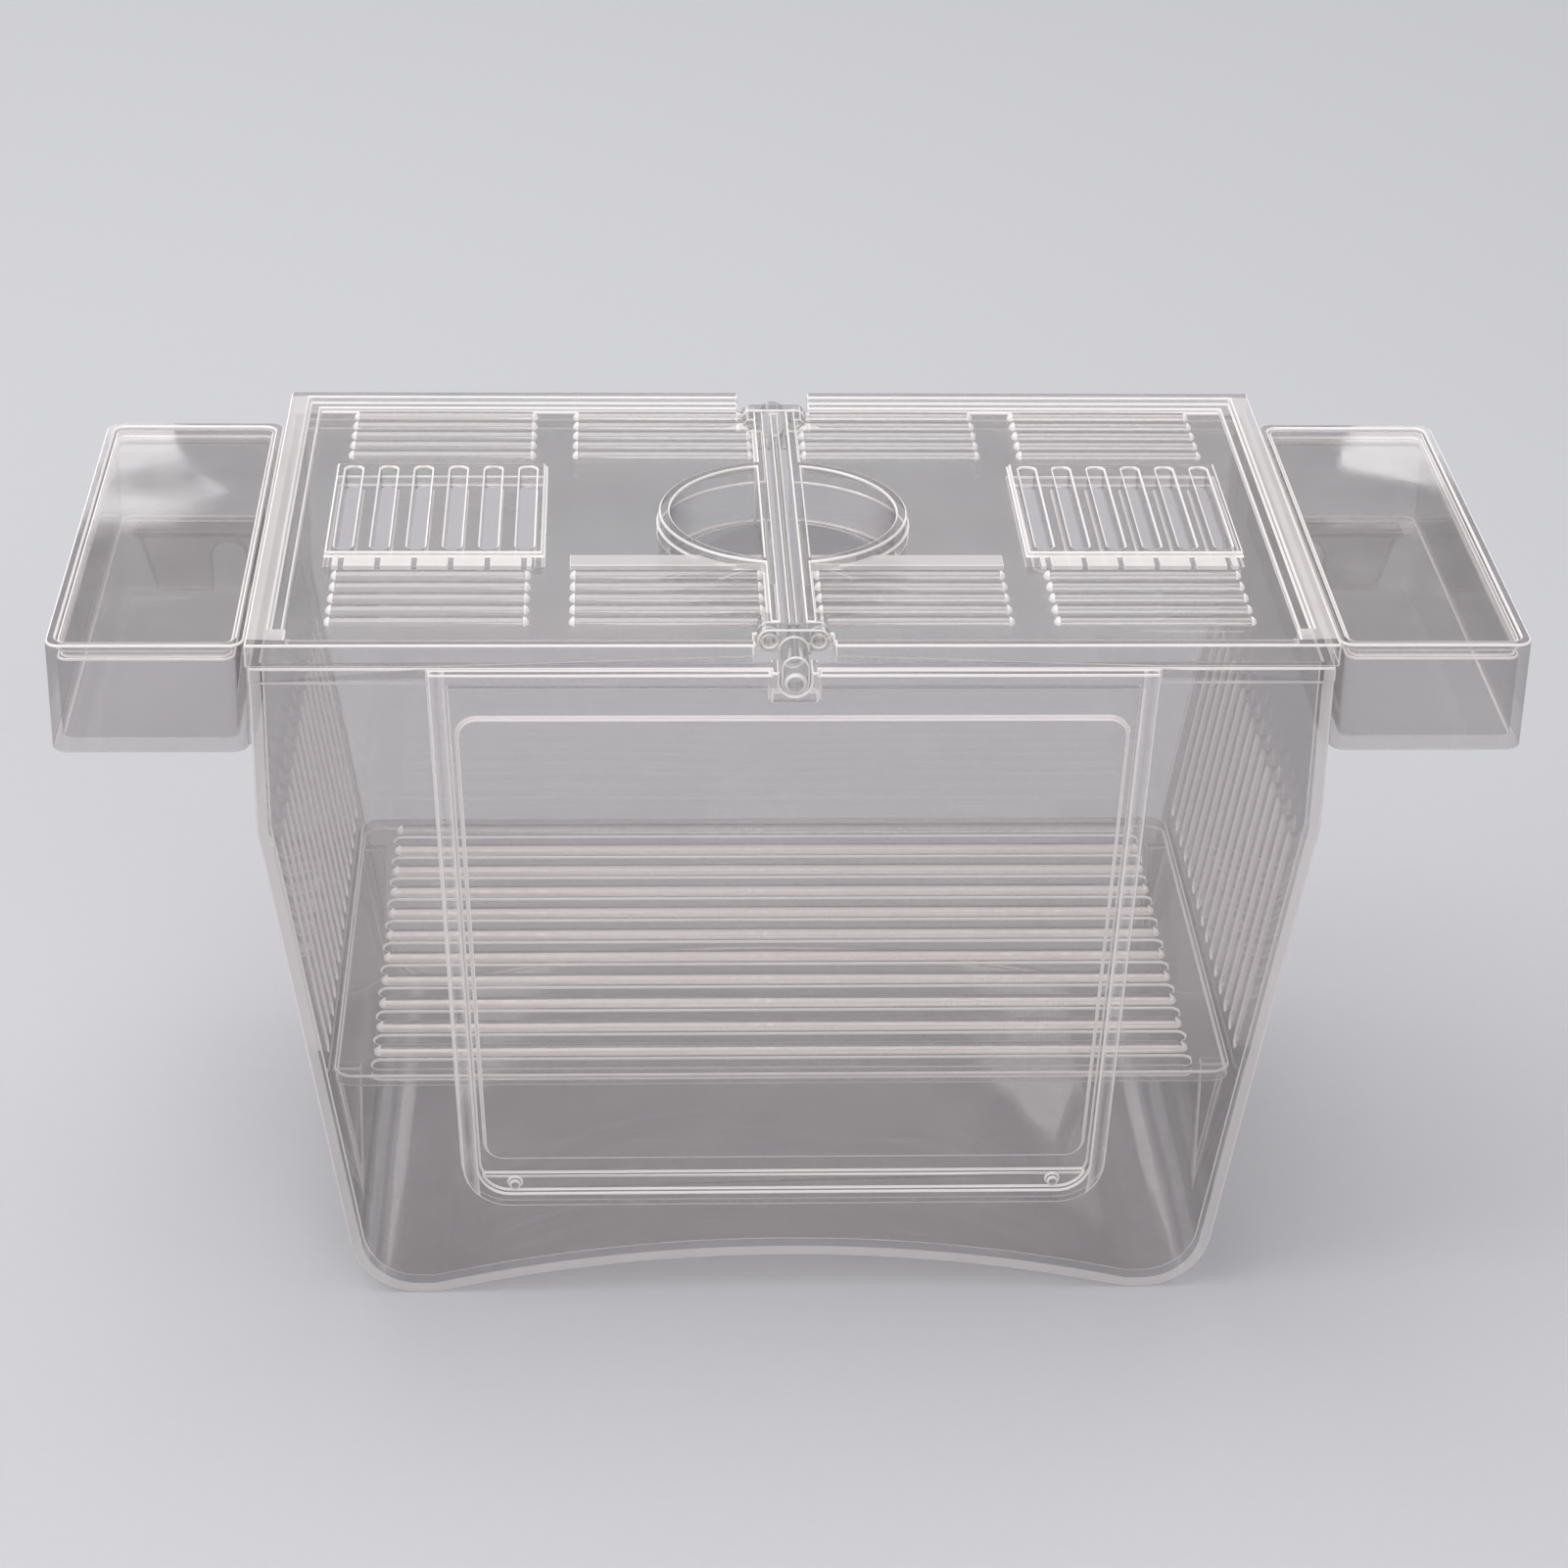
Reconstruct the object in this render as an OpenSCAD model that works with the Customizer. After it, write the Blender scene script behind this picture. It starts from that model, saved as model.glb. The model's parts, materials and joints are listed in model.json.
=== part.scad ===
// Floating fish breeding box: clear tank, slotted fry shelf, two-leaf lid and two side floats.
// Millimetres, +Z up, +Y towards the back, origin under the middle of the whole box.

/* [Tank] */
// Outside width of the upper side walls
tank_w = 193; // [170:1:230]
// Outside depth from the front wall to the back wall
tank_d = 115; // [100:1:140]
// Height of the tank rim above the lowest point
tank_h = 134.3; // [125:0.5:150]
// Wall and floor thickness
wall = 2.2; // [1.8:0.1:2.8]
// Height where the side walls start to lean inwards
kink_z = 101.3; // [85:1:110]
// Lean of the lower side walls, from vertical
lean_deg = 8.7; // [4:0.5:11]
// Radius of the lower corners
corner_r = 13; // [9:1:18]
// Width of the flat strips that the tank stands on
foot_flat = 3.5; // [2:0.5:8]
// Rise of the arched floor at its middle
arch_rise = 8; // [5:0.5:11]
// Height of the thickened rim band
rim_h = 3; // [2:0.5:5]
// Amount the rim band stands proud of the front and back walls
rim_out = 0.7; // [0.4:0.1:1.2]

/* [Side wall slots] */
// Least solid wall in front of and behind the row of slots
slot_edge = 5; // [4:0.5:15]
// Distance from one slot to the next
slot_pitch = 6.6; // [5.5:0.1:7]
// Width of one slot
slot_w = 3.2; // [2:0.1:3.8]
// Height of the lower end of the slots
slot_z0 = 48; // [46:1:60]
// Height of the upper end of the slots
slot_z1 = 94; // [75:1:98]

/* [Front frame] */
// Width of the raised front frame at its top
frame_top_w = 130; // [110:1:150]
// Width of the raised front frame at its foot
frame_foot_w = 121; // [100:1:140]
// Height of the lower edge of the frame
frame_z0 = 21.5; // [17:0.5:30]
// Distance from the tank rim down to the top of the frame
frame_top_gap = 0.4; // [0.3:0.1:3]
// Amount the frame stands proud of the front wall
frame_out = 2.6; // [1.5:0.1:4]
// Width of the frame bars
frame_bar = 3; // [2:0.1:5]
// Radius of the lower frame corners
frame_r = 9; // [5:0.5:14]
// Height of the window pad above the frame foot
pad_rise = 9.5; // [6:0.5:14]
// Distance from the frame top down to the window pad
pad_drop = 9.6; // [7:0.5:14]
// Distance from the frame edge in to the window pad, on each side
pad_side = 4.4; // [4:0.1:8]
// Radius of the corners of the window pad
pad_r = 3.5; // [1:0.5:6]
// Thickness of the window pad
pad_t = 0.9; // [0.5:0.1:1.4]
// Distance from the side of the frame in to each round stop on its foot
stop_in = 9.5; // [8:0.5:14]
// Distance from the inner edge of the foot bar up to the middle of a stop
stop_up = 1.8; // [1.2:0.1:3]
// Diameter of the round stops
stop_d = 2.2; // [1.5:0.1:3]

/* [Fry shelf] */
// Height of the shelf plate's top face
shelf_z = 45; // [38:0.5:47]
// Thickness of the shelf plate
shelf_t = 2.4; // [1.8:0.1:3]
// Gap between the shelf and the front and back walls
shelf_gap = 4.5; // [2:0.1:6]
// Clearance between the ends of the shelf and the side walls
shelf_end_clear = 0.35; // [0.3:0.05:0.8]
// Radius of the shelf corners
shelf_r = 4; // [2:0.5:6]
// Shift of the raised bars towards the back
bar_shift = 1.5; // [0.5:0.1:1.8]
// Least solid edge of the shelf in front of and behind its pattern
shelf_edge = 2; // [1:0.5:4]
// Distance from one bar to the next
shelf_pitch = 8.75; // [7:0.05:10]
// Width of one drop slot
shelf_slot_w = 3.4; // [2:0.1:3.8]
// Solid margin at each end of the drop slots
shelf_margin = 7; // [5:0.5:12]
// Height of the raised bars
bar_h = 1.2; // [0.6:0.1:2]
// Width of the raised bars
bar_w = 3.6; // [2.5:0.1:4.2]
// Reach of the shelf rests in from the side walls, at their top
rest_reach = 5; // [3.5:0.5:8]
// Thickness of one shelf rest
rest_t = 2.6; // [2:0.1:4]
// Height of one shelf rest
rest_h = 30; // [15:1:32]
// Distance from the shelf's front or back edge in to a rest
rest_inset = 8; // [5:0.5:12]
// Gap between the shelf and its rests
rest_gap = 0.15; // [0.1:0.05:0.3]

/* [Lid] */
// Thickness of the lid plates
plate_t = 2; // [1.5:0.1:2.6]
// Full height of the lid rims
lid_h = 4.4; // [3.8:0.1:6]
// Amount the lid reaches past the tank walls on each side
lid_over = 0.5; // [0.3:0.1:0.8]
// Amount the lid reaches past the tank walls at front and back
lid_over_y = 1; // [0.8:0.1:2]
// Width of the outer side rims
side_rim_w = 3.9; // [3:0.1:5]
// Width of the front and back rims
end_rim_w = 2.6; // [2:0.1:4]
// Width of the low step inside the rims
step_w = 2.3; // [1.5:0.1:3]
// Height of the low step above the plate
step_h = 1; // [0.6:0.1:1.6]
// Length and width of the solid front corners
corner_w = 7; // [4:0.5:9]
// Gap between the lid and the tank rim
lid_gap = 0.3; // [0.2:0.05:0.5]
// Half of the channel between the two lid leaves
leaf_x = 2.2; // [2:0.1:3]
// Width of the rim along the channel
channel_rim_w = 2; // [1.5:0.1:2.6]

/* [Lid vents and ribs] */
// Number of vent slots in each leaf
vent_n = 6; // [4:1:6]
// Distance from one vent slot to the next
vent_pitch = 6.75; // [6:0.05:7]
// Width of one vent slot
vent_w = 3.2; // [2:0.1:3.8]
// Length of one vent slot
vent_l = 38.5; // [25:0.5:40]
// Distance from the middle of the box to the middle of a vent
vent_x = 65.5; // [63:0.5:68]
// Middle of the vents along the depth
vent_y = 5; // [2:0.5:6]
// Depth of the vent walls below the plate
vent_drop = 1.8; // [1:0.1:3]
// Height of the vent walls above the plate
vent_up = 0.9; // [0.5:0.1:1.5]
// Margin of the vent field in front of and behind the slots
vent_margin = 1.6; // [1:0.1:2]
// Number of grip ribs in one band
rib_n = 5; // [3:1:5]
// Distance from one grip rib to the next
rib_pitch = 4.9; // [4:0.1:5]
// Width of one grip rib
rib_w = 2.4; // [1.5:0.1:3]
// Height of one grip rib
rib_h = 0.9; // [0.5:0.1:1.4]
// Distance from the lid's back edge in to the middle of the back rib band
back_band_in = 17.7; // [16:0.1:18]
// Distance from the lid's front edge in to the middle of the front rib band
front_band_in = 23.9; // [21:0.1:24]
// Near end of the inner ribs
rib_in_x0 = 4.6; // [4.4:0.1:6]
// Far end of the inner ribs
rib_in_x1 = 40.2; // [36:0.2:42]
// Near end of the outer ribs
rib_out_x0 = 47.2; // [45:0.2:49]
// Far end of the outer ribs
rib_out_x1 = 84; // [80:0.5:88]
// Gap between the vent field and the row of bars in front of it
row_in = 1.2; // [0.8:0.1:1.4]
// Width of the bars in that row
row_l = 4.6; // [3:0.1:4.8]
// Gap in the outer bar of that row in line with each vent
row_gap = 1; // [0.6:0.1:2]

/* [Feed port] */
// Outside radius of the feed port
port_r = 23.6; // [20:0.1:24.5]
// Wall thickness of the feed port
port_wall = 2.2; // [1.8:0.1:3]
// Depth of the feed port from the lid top
port_drop = 12.5; // [9:0.5:16]

/* [Hinge] */
// Distance from the middle of the box to each lid pivot
pivot_x = 4.4; // [4.3:0.1:5.5]
// Depth of the pivots below the lid top
pivot_drop = 2.2; // [2.1:0.1:2.3]
// Diameter of the lid pivot pins
pin_d = 2.4; // [2:0.1:2.6]
// Distance that the pins stop short of the outer face of the cross heads
pin_short = 0.3; // [0.1:0.1:0.6]
// Radial clearance between pivot pin and bore
pin_clear = 0.06; // [0.03:0.01:0.1]
// Diameter of the bosses that carry the pins
boss_d = 4.2; // [4:0.1:4.2]
// Thickness of the cross heads on the hinge bar
head_t = 3.2; // [2.6:0.1:4]
// Distance from the inner face of the front or back wall in to a cross head
head_inset = 3; // [2:0.5:5]
// Gap between the cross heads and the lid leaves
head_gap = 0.4; // [0.3:0.05:0.6]
// Length of the bosses that carry the pins
boss_l = 4; // [3:0.5:8]
// Thickness of the centre web
web_t = 1.6; // [1.2:0.1:1.8]
// Height of the centre web
web_h = 7; // [5:0.5:9]
// Drop of the web's upper edge below the lid top
web_drop = 0.8; // [0.5:0.1:1.5]
// Width of the end tabs that sit in the cradles
tab_w = 5; // [4:0.1:5.5]
// Height of the end tabs
tab_h = 7.6; // [6.5:0.1:8]
// Drop of the end tabs' lower edge below the lid top
tab_drop = 9; // [8.5:0.1:10]
// Amount the front tab stands proud of the front frame
tab_out = 0.3; // [0.2:0.1:1]
// Amount the cradles stand in from the inner face of the tank wall
cradle_in = 1; // [0.5:0.1:2]
// Wall thickness of the cradles
cradle_wall = 1.5; // [1.2:0.1:2.5]
// Clearance of the end tabs in their cradles
tab_clear = 0.3; // [0.25:0.05:0.5]
// Diameter of the round pin end on the front tab
stud_d = 3.5; // [2.5:0.1:4]
// Amount the round pin end stands proud of the front tab
stud_out = 0.6; // [0.4:0.1:1.5]

/* [Floats] */
// Distance each float reaches out from the tank wall
float_w = 36; // [28:0.5:45]
// Length of each float along the depth
float_l = 101.3; // [85:0.5:106]
// Set-back of the float's front face behind the tank's front wall
float_setback = 2.7; // [2:0.1:6]
// Height of each float
float_h = 21.3; // [16:0.5:26]
// Drop of the float top below the lid top
float_drop = 1.8; // [1:0.1:3]
// Wall thickness of the floats
float_wall = 1.8; // [1.4:0.1:2.4]
// Corner radius of the floats
float_r = 3; // [2:0.5:6]
// Thickness of the float covers
cover_t = 1.6; // [1.2:0.1:2]
// Set-back of the cover below the tray's edge
cover_in = 0.5; // [0.3:0.1:1]
// Clearance around the cover inside its tray
cover_clear = 0.15; // [0.1:0.05:0.3]
// Width of the ledge that carries the cover
cover_ledge = 1; // [0.8:0.1:1.5]
// Height of the ledge that carries the cover
ledge_t = 1.2; // [0.8:0.1:2]
// Gap between the lid edge and the upper float wall
float_gap = 0.4; // [0.3:0.1:0.6]

/* [Cup brackets] */
// Distance from the tank wall to the bracket
bracket_gap = 5.5; // [4:0.5:7]
// Set-back of the bracket from the float's back face
bracket_back = 0.5; // [0.2:0.1:4]
// Width of a bracket at its root
bracket_w = 26.4; // [20:0.2:28]
// Height of a bracket below the float floor
bracket_h = 14.5; // [12:0.5:20]
// Thickness of a bracket
bracket_t = 2.2; // [1.6:0.1:3]
// Lean of the outer bracket edge
bracket_taper = 3.8; // [0:0.2:4]
// Width of the cup slot
cup_slot_w = 6.8; // [5:0.1:8]
// Height of the cup slot
cup_slot_h = 10.8; // [8:0.1:12]
// Width of the inner bracket leg
cup_leg = 4.4; // [3:0.1:6]
// Depth of the bracket's glue foot along the float floor
foot_d = 5; // [3:0.5:8]
// Thickness of the bracket's glue foot
foot_t = 1.4; // [1:0.1:2]

/* [Hidden] */
eps = 0.01;
cut_over = 1; // how far cuts run past the faces they open
clear_tint = [0.82, 0.84, 0.88, 0.45];
lid_tint = [0.78, 0.8, 0.84, 0.5];
shelf_tint = [0.86, 0.84, 0.8, 0.5];
float_tint = [0.84, 0.86, 0.9, 0.5];
$fn = 48;
arc_n = 14;
arch_n = 24;

// Heights of the lid
lid_z = tank_h + lid_gap;
lid_top = lid_z + lid_h;
plate_top = lid_z + plate_t;

// Reach of the box along the depth, and the shift that centres it on the origin
front_reach = tank_d / 2 + max(frame_out + tab_out + stud_out, lid_over_y);
back_reach = tank_d / 2 + lid_over_y;
tank_y = (front_reach - back_reach) / 2;

// Section of the tank: vertical wall, leaning wall, round corner, arched floor
half_w = tank_w / 2;
lean = tan(lean_deg);
function wall_x(z) = half_w - max(kink_z - z, 0) * lean;
corner_x = wall_x(corner_r) - corner_r / cos(lean_deg);
arch_x = corner_x - foot_flat;
arch_r = (arch_x * arch_x + arch_rise * arch_rise) / (2 * arch_rise);
arch_end = asin(arch_x / arch_r);
function right_side(t) = concat(
    [for (i = [0:arch_n]) let (a = arch_end * i / arch_n)
        [(arch_r + t) * sin(a), arch_rise - arch_r + (arch_r + t) * cos(a)]],
    [for (i = [0:arc_n]) let (a = -90 + (90 - lean_deg) * i / arc_n)
        [corner_x + (corner_r - t) * cos(a), corner_r + (corner_r - t) * sin(a)]],
    [[half_w - t, kink_z + t * tan(lean_deg / 2)], [half_w - t, tank_h + (t > 0 ? 1 : 0)]]);
function mirrored(points) = [for (i = [len(points) - 1:-1:0]) [-points[i][0], points[i][1]]];

// Number of slots that fit in a side wall
slot_n = floor((tank_d - 2 * wall - 2 * slot_edge) / slot_pitch);

// Depth of the shelf plate, and the number and places of its raised bars
shelf_d = tank_d - 2 * wall - 2 * shelf_gap;
shelf_slot_n = floor((shelf_d - 2 * shelf_edge) / shelf_pitch);
function shelf_bar_y(i) = bar_shift + (i - (shelf_slot_n - 1) / 2) * shelf_pitch;

// Hinge places: the cross heads are round about the pivots, so the leaves turn past them
pivot_z = lid_top - pivot_drop;
head_r = pivot_drop;
head_y1 = tank_d / 2 - wall - head_inset;
head_y0 = head_y1 - head_t;
tab_z0 = lid_top - tab_drop;
tab_r = tab_w / 2;

// Float places
float_top = lid_top - float_drop;
float_z0 = float_top - float_h;
float_x1 = half_w + float_w;
float_y0 = -tank_d / 2 + float_setback;
float_upper_x = half_w + lid_over + float_gap;

// Thin box with round corners seen from above
module round_box(size, r) {
    linear_extrude(size[2])
    round_rect([size[0], size[1]], r);
}

// Rectangle with round corners, lower left corner at the origin
module round_rect(size, r) {
    translate([r, 0])
    square([size[0] - 2 * r, size[1]]);
    translate([0, r])
    square([size[0], size[1] - 2 * r]);
    for (x = [r, size[0] - r], y = [r, size[1] - r])
        translate([x, y])
        circle(r);
}

// Round-ended bar along X or Y, from its lower face up
module bar_x(x0, x1, y, w, z, h) {
    translate([x0 + w / 2, y - w / 2, z])
    cube([x1 - x0 - w, w, h]);
    for (x = [x0 + w / 2, x1 - w / 2])
        translate([x, y, z])
        cylinder(d = w, h = h, $fn = 24);
}

module bar_y(x, y0, y1, w, z, h) {
    translate([x - w / 2, y0 + w / 2, z])
    cube([w, y1 - y0 - w, h]);
    for (y = [y0 + w / 2, y1 - w / 2])
        translate([x, y, z])
        cylinder(d = w, h = h, $fn = 24);
}

// Solid of the tank section, inset by t from the outside
module section_solid(t, depth) {
    half = right_side(t);
    rotate([90, 0, 0])
    linear_extrude(depth, center = true)
    polygon(concat(half, mirrored(half)));
}

// Half width of the front frame at height z, and how its sides lean
frame_side = (frame_top_w - frame_foot_w) / 2 / (tank_h - frame_z0);
function frame_x(z) = frame_top_w / 2 - (tank_h - z) * frame_side;

// Tapered outline of the front frame, inset by t
module frame_outline(t) {
    top = tank_h - frame_top_gap - t;
    foot = frame_z0 + t;
    r = max(frame_r - t, 1);
    bend = 90 - atan(frame_side);
    cx = frame_x(foot + r) - t - r;
    points = concat([[frame_x(top) - t, top]],
        [for (i = [0:arc_n]) let (a = -bend * i / arc_n)
            [cx + r * cos(a), foot + r + r * sin(a)]],
        [[0, foot]]);
    polygon(concat(points, mirrored(points)));
}

// Tapered outline of the window pad, with four round corners
module pad_outline() {
    low = frame_z0 + pad_rise + pad_r;
    high = tank_h - frame_top_gap - pad_drop - pad_r;
    lean = atan(frame_side);
    points = concat(
        [for (i = [0:arc_n]) let (a = -90 + (90 - lean) * i / arc_n)
            [frame_x(low) - pad_side - pad_r + pad_r * cos(a), low + pad_r * sin(a)]],
        [for (i = [0:arc_n]) let (a = -lean + (90 + lean) * i / arc_n)
            [frame_x(high) - pad_side - pad_r + pad_r * cos(a), high + pad_r * sin(a)]]);
    polygon(concat(points, mirrored(points)));
}

// Plate standing on the front wall, its outline drawn in X and Z
module on_front(depth) {
    translate([0, -tank_d / 2 + eps, 0])
    rotate([90, 0, 0])
    linear_extrude(depth + eps)
    children();
}

module front_frame() {
    on_front(frame_out)
    difference() {
        frame_outline(0);
        frame_outline(frame_bar);
    }
    on_front(pad_t)
    pad_outline();
    on_front(frame_out / 2)
    intersection() {
        frame_outline(frame_bar - eps);
        translate([-frame_top_w / 2, frame_z0])
        square([frame_top_w, 2 * frame_bar]);
    }
    on_front(frame_out)
    for (side = [-1, 1])
        translate([side * (frame_foot_w / 2 - stop_in), frame_z0 + frame_bar + stop_up])
        circle(d = stop_d, $fn = 24);
}

// Upright slots through both lower side walls
module side_slots() {
    for (i = [0:slot_n - 1])
        translate([-half_w - cut_over, (i - (slot_n - 1) / 2) * slot_pitch, 0]) {
            translate([0, -slot_w / 2, slot_z0 + slot_w / 2])
            cube([tank_w + 2 * cut_over, slot_w, slot_z1 - slot_z0 - slot_w]);
            for (z = [slot_z0 + slot_w / 2, slot_z1 - slot_w / 2])
                translate([0, 0, z])
                rotate([0, 90, 0])
                cylinder(d = slot_w, h = tank_w + 2 * cut_over, $fn = 16);
        }
}

// Tapered rests on the leaning walls that carry the shelf near its corners
module shelf_rests() {
    top = shelf_z - shelf_t - rest_gap;
    foot = top - rest_h;
    for (side = [-1, 1], y = [-1, 1])
        translate([0, y * (shelf_d / 2 - rest_inset), 0])
        scale([side, 1, 1])
        rotate([90, 0, 0])
        linear_extrude(rest_t, center = true)
        polygon([[wall_x(top) - wall / 2, top], [wall_x(top) - wall - rest_reach, top],
                 [wall_x(foot) - wall, foot], [wall_x(foot) - wall / 2, foot]]);
}

// Seat for one end tab of the hinge bar, open upwards
module cradle_cut(depth) {
    r = tab_r + tab_clear;
    translate([0, 0, tab_z0 + tab_r])
    rotate([90, 0, 0])
    cylinder(r = r, h = depth, center = true);
    translate([-r, -depth / 2, tab_z0 + tab_r])
    cube([2 * r, depth, tank_h]);
}

module tank_body() {
    cradle_w = tab_w + 2 * tab_clear + 2 * cradle_wall;
    cradle_z0 = tab_z0 - tab_clear - cradle_wall;
    translate([0, tank_y, 0])
    color(clear_tint)
    difference() {
        union() {
            difference() {
                section_solid(0, tank_d);
                section_solid(wall, tank_d - 2 * wall);
                side_slots();
            }
            for (y = [-1, 1])
                translate([-half_w, y > 0 ? tank_d / 2 - wall : -tank_d / 2 - rim_out, tank_h - rim_h])
                cube([tank_w, wall + rim_out, rim_h]);
            front_frame();
            shelf_rests();
            translate([-cradle_w / 2, -tank_d / 2 - frame_out, cradle_z0])
            cube([cradle_w, frame_out + wall + cradle_in, tank_h - cradle_z0]);
            translate([-cradle_w / 2, tank_d / 2 - wall - cradle_in, cradle_z0])
            cube([cradle_w, wall + cradle_in, tank_h - cradle_z0]);
        }
        for (y = [-1, 1])
            translate([0, y * tank_d / 2, 0])
            cradle_cut(2 * (wall + frame_out + cradle_in + cut_over));
    }
}

// Slotted plate; its end edges lean like the tank walls
module fry_shelf() {
    half_top = wall_x(shelf_z) - wall / cos(lean_deg) - shelf_end_clear;
    half_low = wall_x(shelf_z - shelf_t) - wall / cos(lean_deg) - shelf_end_clear;
    slot_x = half_low - shelf_margin;
    translate([0, tank_y, 0])
    color(shelf_tint) {
        difference() {
            intersection() {
                rotate([90, 0, 0])
                linear_extrude(shelf_d, center = true)
                polygon([[-half_top, shelf_z], [half_top, shelf_z],
                         [half_low, shelf_z - shelf_t], [-half_low, shelf_z - shelf_t]]);
                translate([-half_top, -shelf_d / 2, shelf_z - 2 * shelf_t])
                round_box([2 * half_top, shelf_d, 3 * shelf_t], shelf_r);
            }
            for (i = [0:shelf_slot_n - 1])
                bar_x(-slot_x, slot_x, shelf_bar_y(i) - shelf_pitch / 2,
                      shelf_slot_w, shelf_z - shelf_t - cut_over, shelf_t + 2 * cut_over);
        }
        for (i = [0:shelf_slot_n - 1])
            bar_x(-slot_x, slot_x, shelf_bar_y(i), bar_w, shelf_z - eps, bar_h + eps);
    }
}

// Fixed bar in the middle: web, two cross heads with pivot bores, two end tabs
module hinge_bar() {
    web_z1 = lid_top - web_drop;
    bore_d = pin_d + 2 * pin_clear;
    translate([0, tank_y, 0])
    color(lid_tint)
    difference() {
        union() {
            translate([-web_t / 2, -head_y0 - eps, web_z1 - web_h])
            cube([web_t, 2 * head_y0 + 2 * eps, web_h]);
            for (y = [-1, 1])
                scale([1, y, 1]) {
                    translate([-pivot_x, head_y0, pivot_z - head_r])
                    cube([2 * pivot_x, head_t, 2 * head_r]);
                    for (x = [-pivot_x, pivot_x])
                        translate([x, head_y0, pivot_z])
                        rotate([-90, 0, 0])
                        cylinder(r = head_r, h = head_t);
                    translate([-tab_r, head_y0, tab_z0 + tab_r])
                    cube([tab_w, tab_end(y) - head_y0, tab_h - tab_w]);
                    for (z = [tab_z0 + tab_r, tab_z0 + tab_h - tab_r])
                        translate([0, head_y0, z])
                        rotate([-90, 0, 0])
                        cylinder(r = tab_r, h = tab_end(y) - head_y0);
                }
            translate([0, -tab_end(-1) + eps, tab_z0 + tab_r])
            rotate([90, 0, 0])
            cylinder(d = stud_d, h = stud_out + eps);
        }
        for (x = [-pivot_x, pivot_x], y = [-1, 1])
            translate([x, y * (head_y0 + head_t / 2), pivot_z])
            rotate([90, 0, 0])
            cylinder(d = bore_d, h = head_t + 2 * cut_over, center = true);
    }
}

function tab_end(y) = tank_d / 2 + (y < 0 ? frame_out + tab_out : 0);

// One lid leaf, drawn on the right; side = -1 mirrors it
module lid_leaf(side) {
    out_x = half_w + lid_over;
    out_y = tank_d / 2 + lid_over_y;
    in_x = pivot_x + head_r + head_gap;
    in_y = head_y0 - head_gap;
    translate([0, tank_y, 0])
    color(lid_tint)
    scale([side, 1, 1]) {
        difference() {
            union() {
                translate([leaf_x, -out_y, lid_z])
                cube([out_x - leaf_x, 2 * out_y, plate_t]);
                lid_rims(out_x, out_y, in_x);
                vent_block();
                feed_port();
                grip_ribs();
            }
            // Room for the cross heads and end tabs
            for (y = [-1, 1])
                translate([leaf_x - cut_over, y > 0 ? in_y : -out_y - cut_over, lid_z - port_drop])
                cube([in_x - leaf_x + cut_over, out_y - in_y + cut_over, 2 * port_drop]);
            vent_slots();
            port_hole();
            front_relief(in_x, out_y);
        }
        // Bosses and pivot pins at both ends of the inner edge
        for (y = [-1, 1])
            translate([pivot_x, y * in_y, pivot_z])
            rotate([y * 90, 0, 0]) {
                cylinder(d = boss_d, h = boss_l);
                translate([0, 0, -head_gap - head_t + pin_short])
                cylinder(d = pin_d, h = head_t + head_gap - pin_short + eps);
            }
    }
}

// Raised rims round the leaf, the low step inside them and the solid front corner
module lid_rims(out_x, out_y, in_x) {
    translate([out_x - side_rim_w, -out_y, lid_z])
    cube([side_rim_w, 2 * out_y, lid_h]);
    translate([out_x - side_rim_w - step_w, -out_y, lid_z])
    cube([step_w + eps, 2 * out_y, plate_t + step_h]);
    translate([leaf_x, -head_y0 + head_gap, lid_z])
    cube([channel_rim_w, 2 * (head_y0 - head_gap), lid_h]);
    for (y = [-1, 1])
        scale([1, y, 1]) {
            translate([in_x, out_y - end_rim_w, lid_z])
            cube([out_x - in_x, end_rim_w, lid_h]);
            translate([in_x, out_y - end_rim_w - step_w, lid_z])
            cube([out_x - in_x, step_w + eps, plate_t + step_h]);
        }
    translate([out_x - corner_w, -out_y, lid_z])
    cube([corner_w, corner_w, lid_h]);
}

// Thickened field that holds the vent slots
module vent_block() {
    w = vent_n * vent_pitch;
    l = vent_l + 2 * vent_margin;
    translate([vent_x - w / 2, vent_y - l / 2, lid_z - vent_drop])
    cube([w, l, vent_drop + plate_t + vent_up]);
}

function vent_place(i) = vent_x + (i - (vent_n - 1) / 2) * vent_pitch;

module vent_slots() {
    for (i = [0:vent_n - 1])
        bar_y(vent_place(i), vent_y - vent_l / 2, vent_y + vent_l / 2, vent_w,
              lid_z - vent_drop - cut_over, vent_drop + plate_t + vent_up + 2 * cut_over);
}

// Half of the round port with a flat wall along the channel
module feed_port() {
    translate([0, 0, lid_top - port_drop])
    intersection() {
        cylinder(r = port_r, h = port_drop, $fn = 96);
        translate([leaf_x, -port_r, 0])
        cube([port_r, 2 * port_r, port_drop]);
    }
}

module port_hole() {
    translate([0, 0, lid_top - port_drop - cut_over])
    intersection() {
        cylinder(r = port_r - port_wall, h = port_drop + 2 * cut_over, $fn = 96);
        translate([leaf_x + port_wall, -port_r, 0])
        cube([port_r, 2 * port_r, port_drop + 2 * cut_over]);
    }
}

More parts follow.
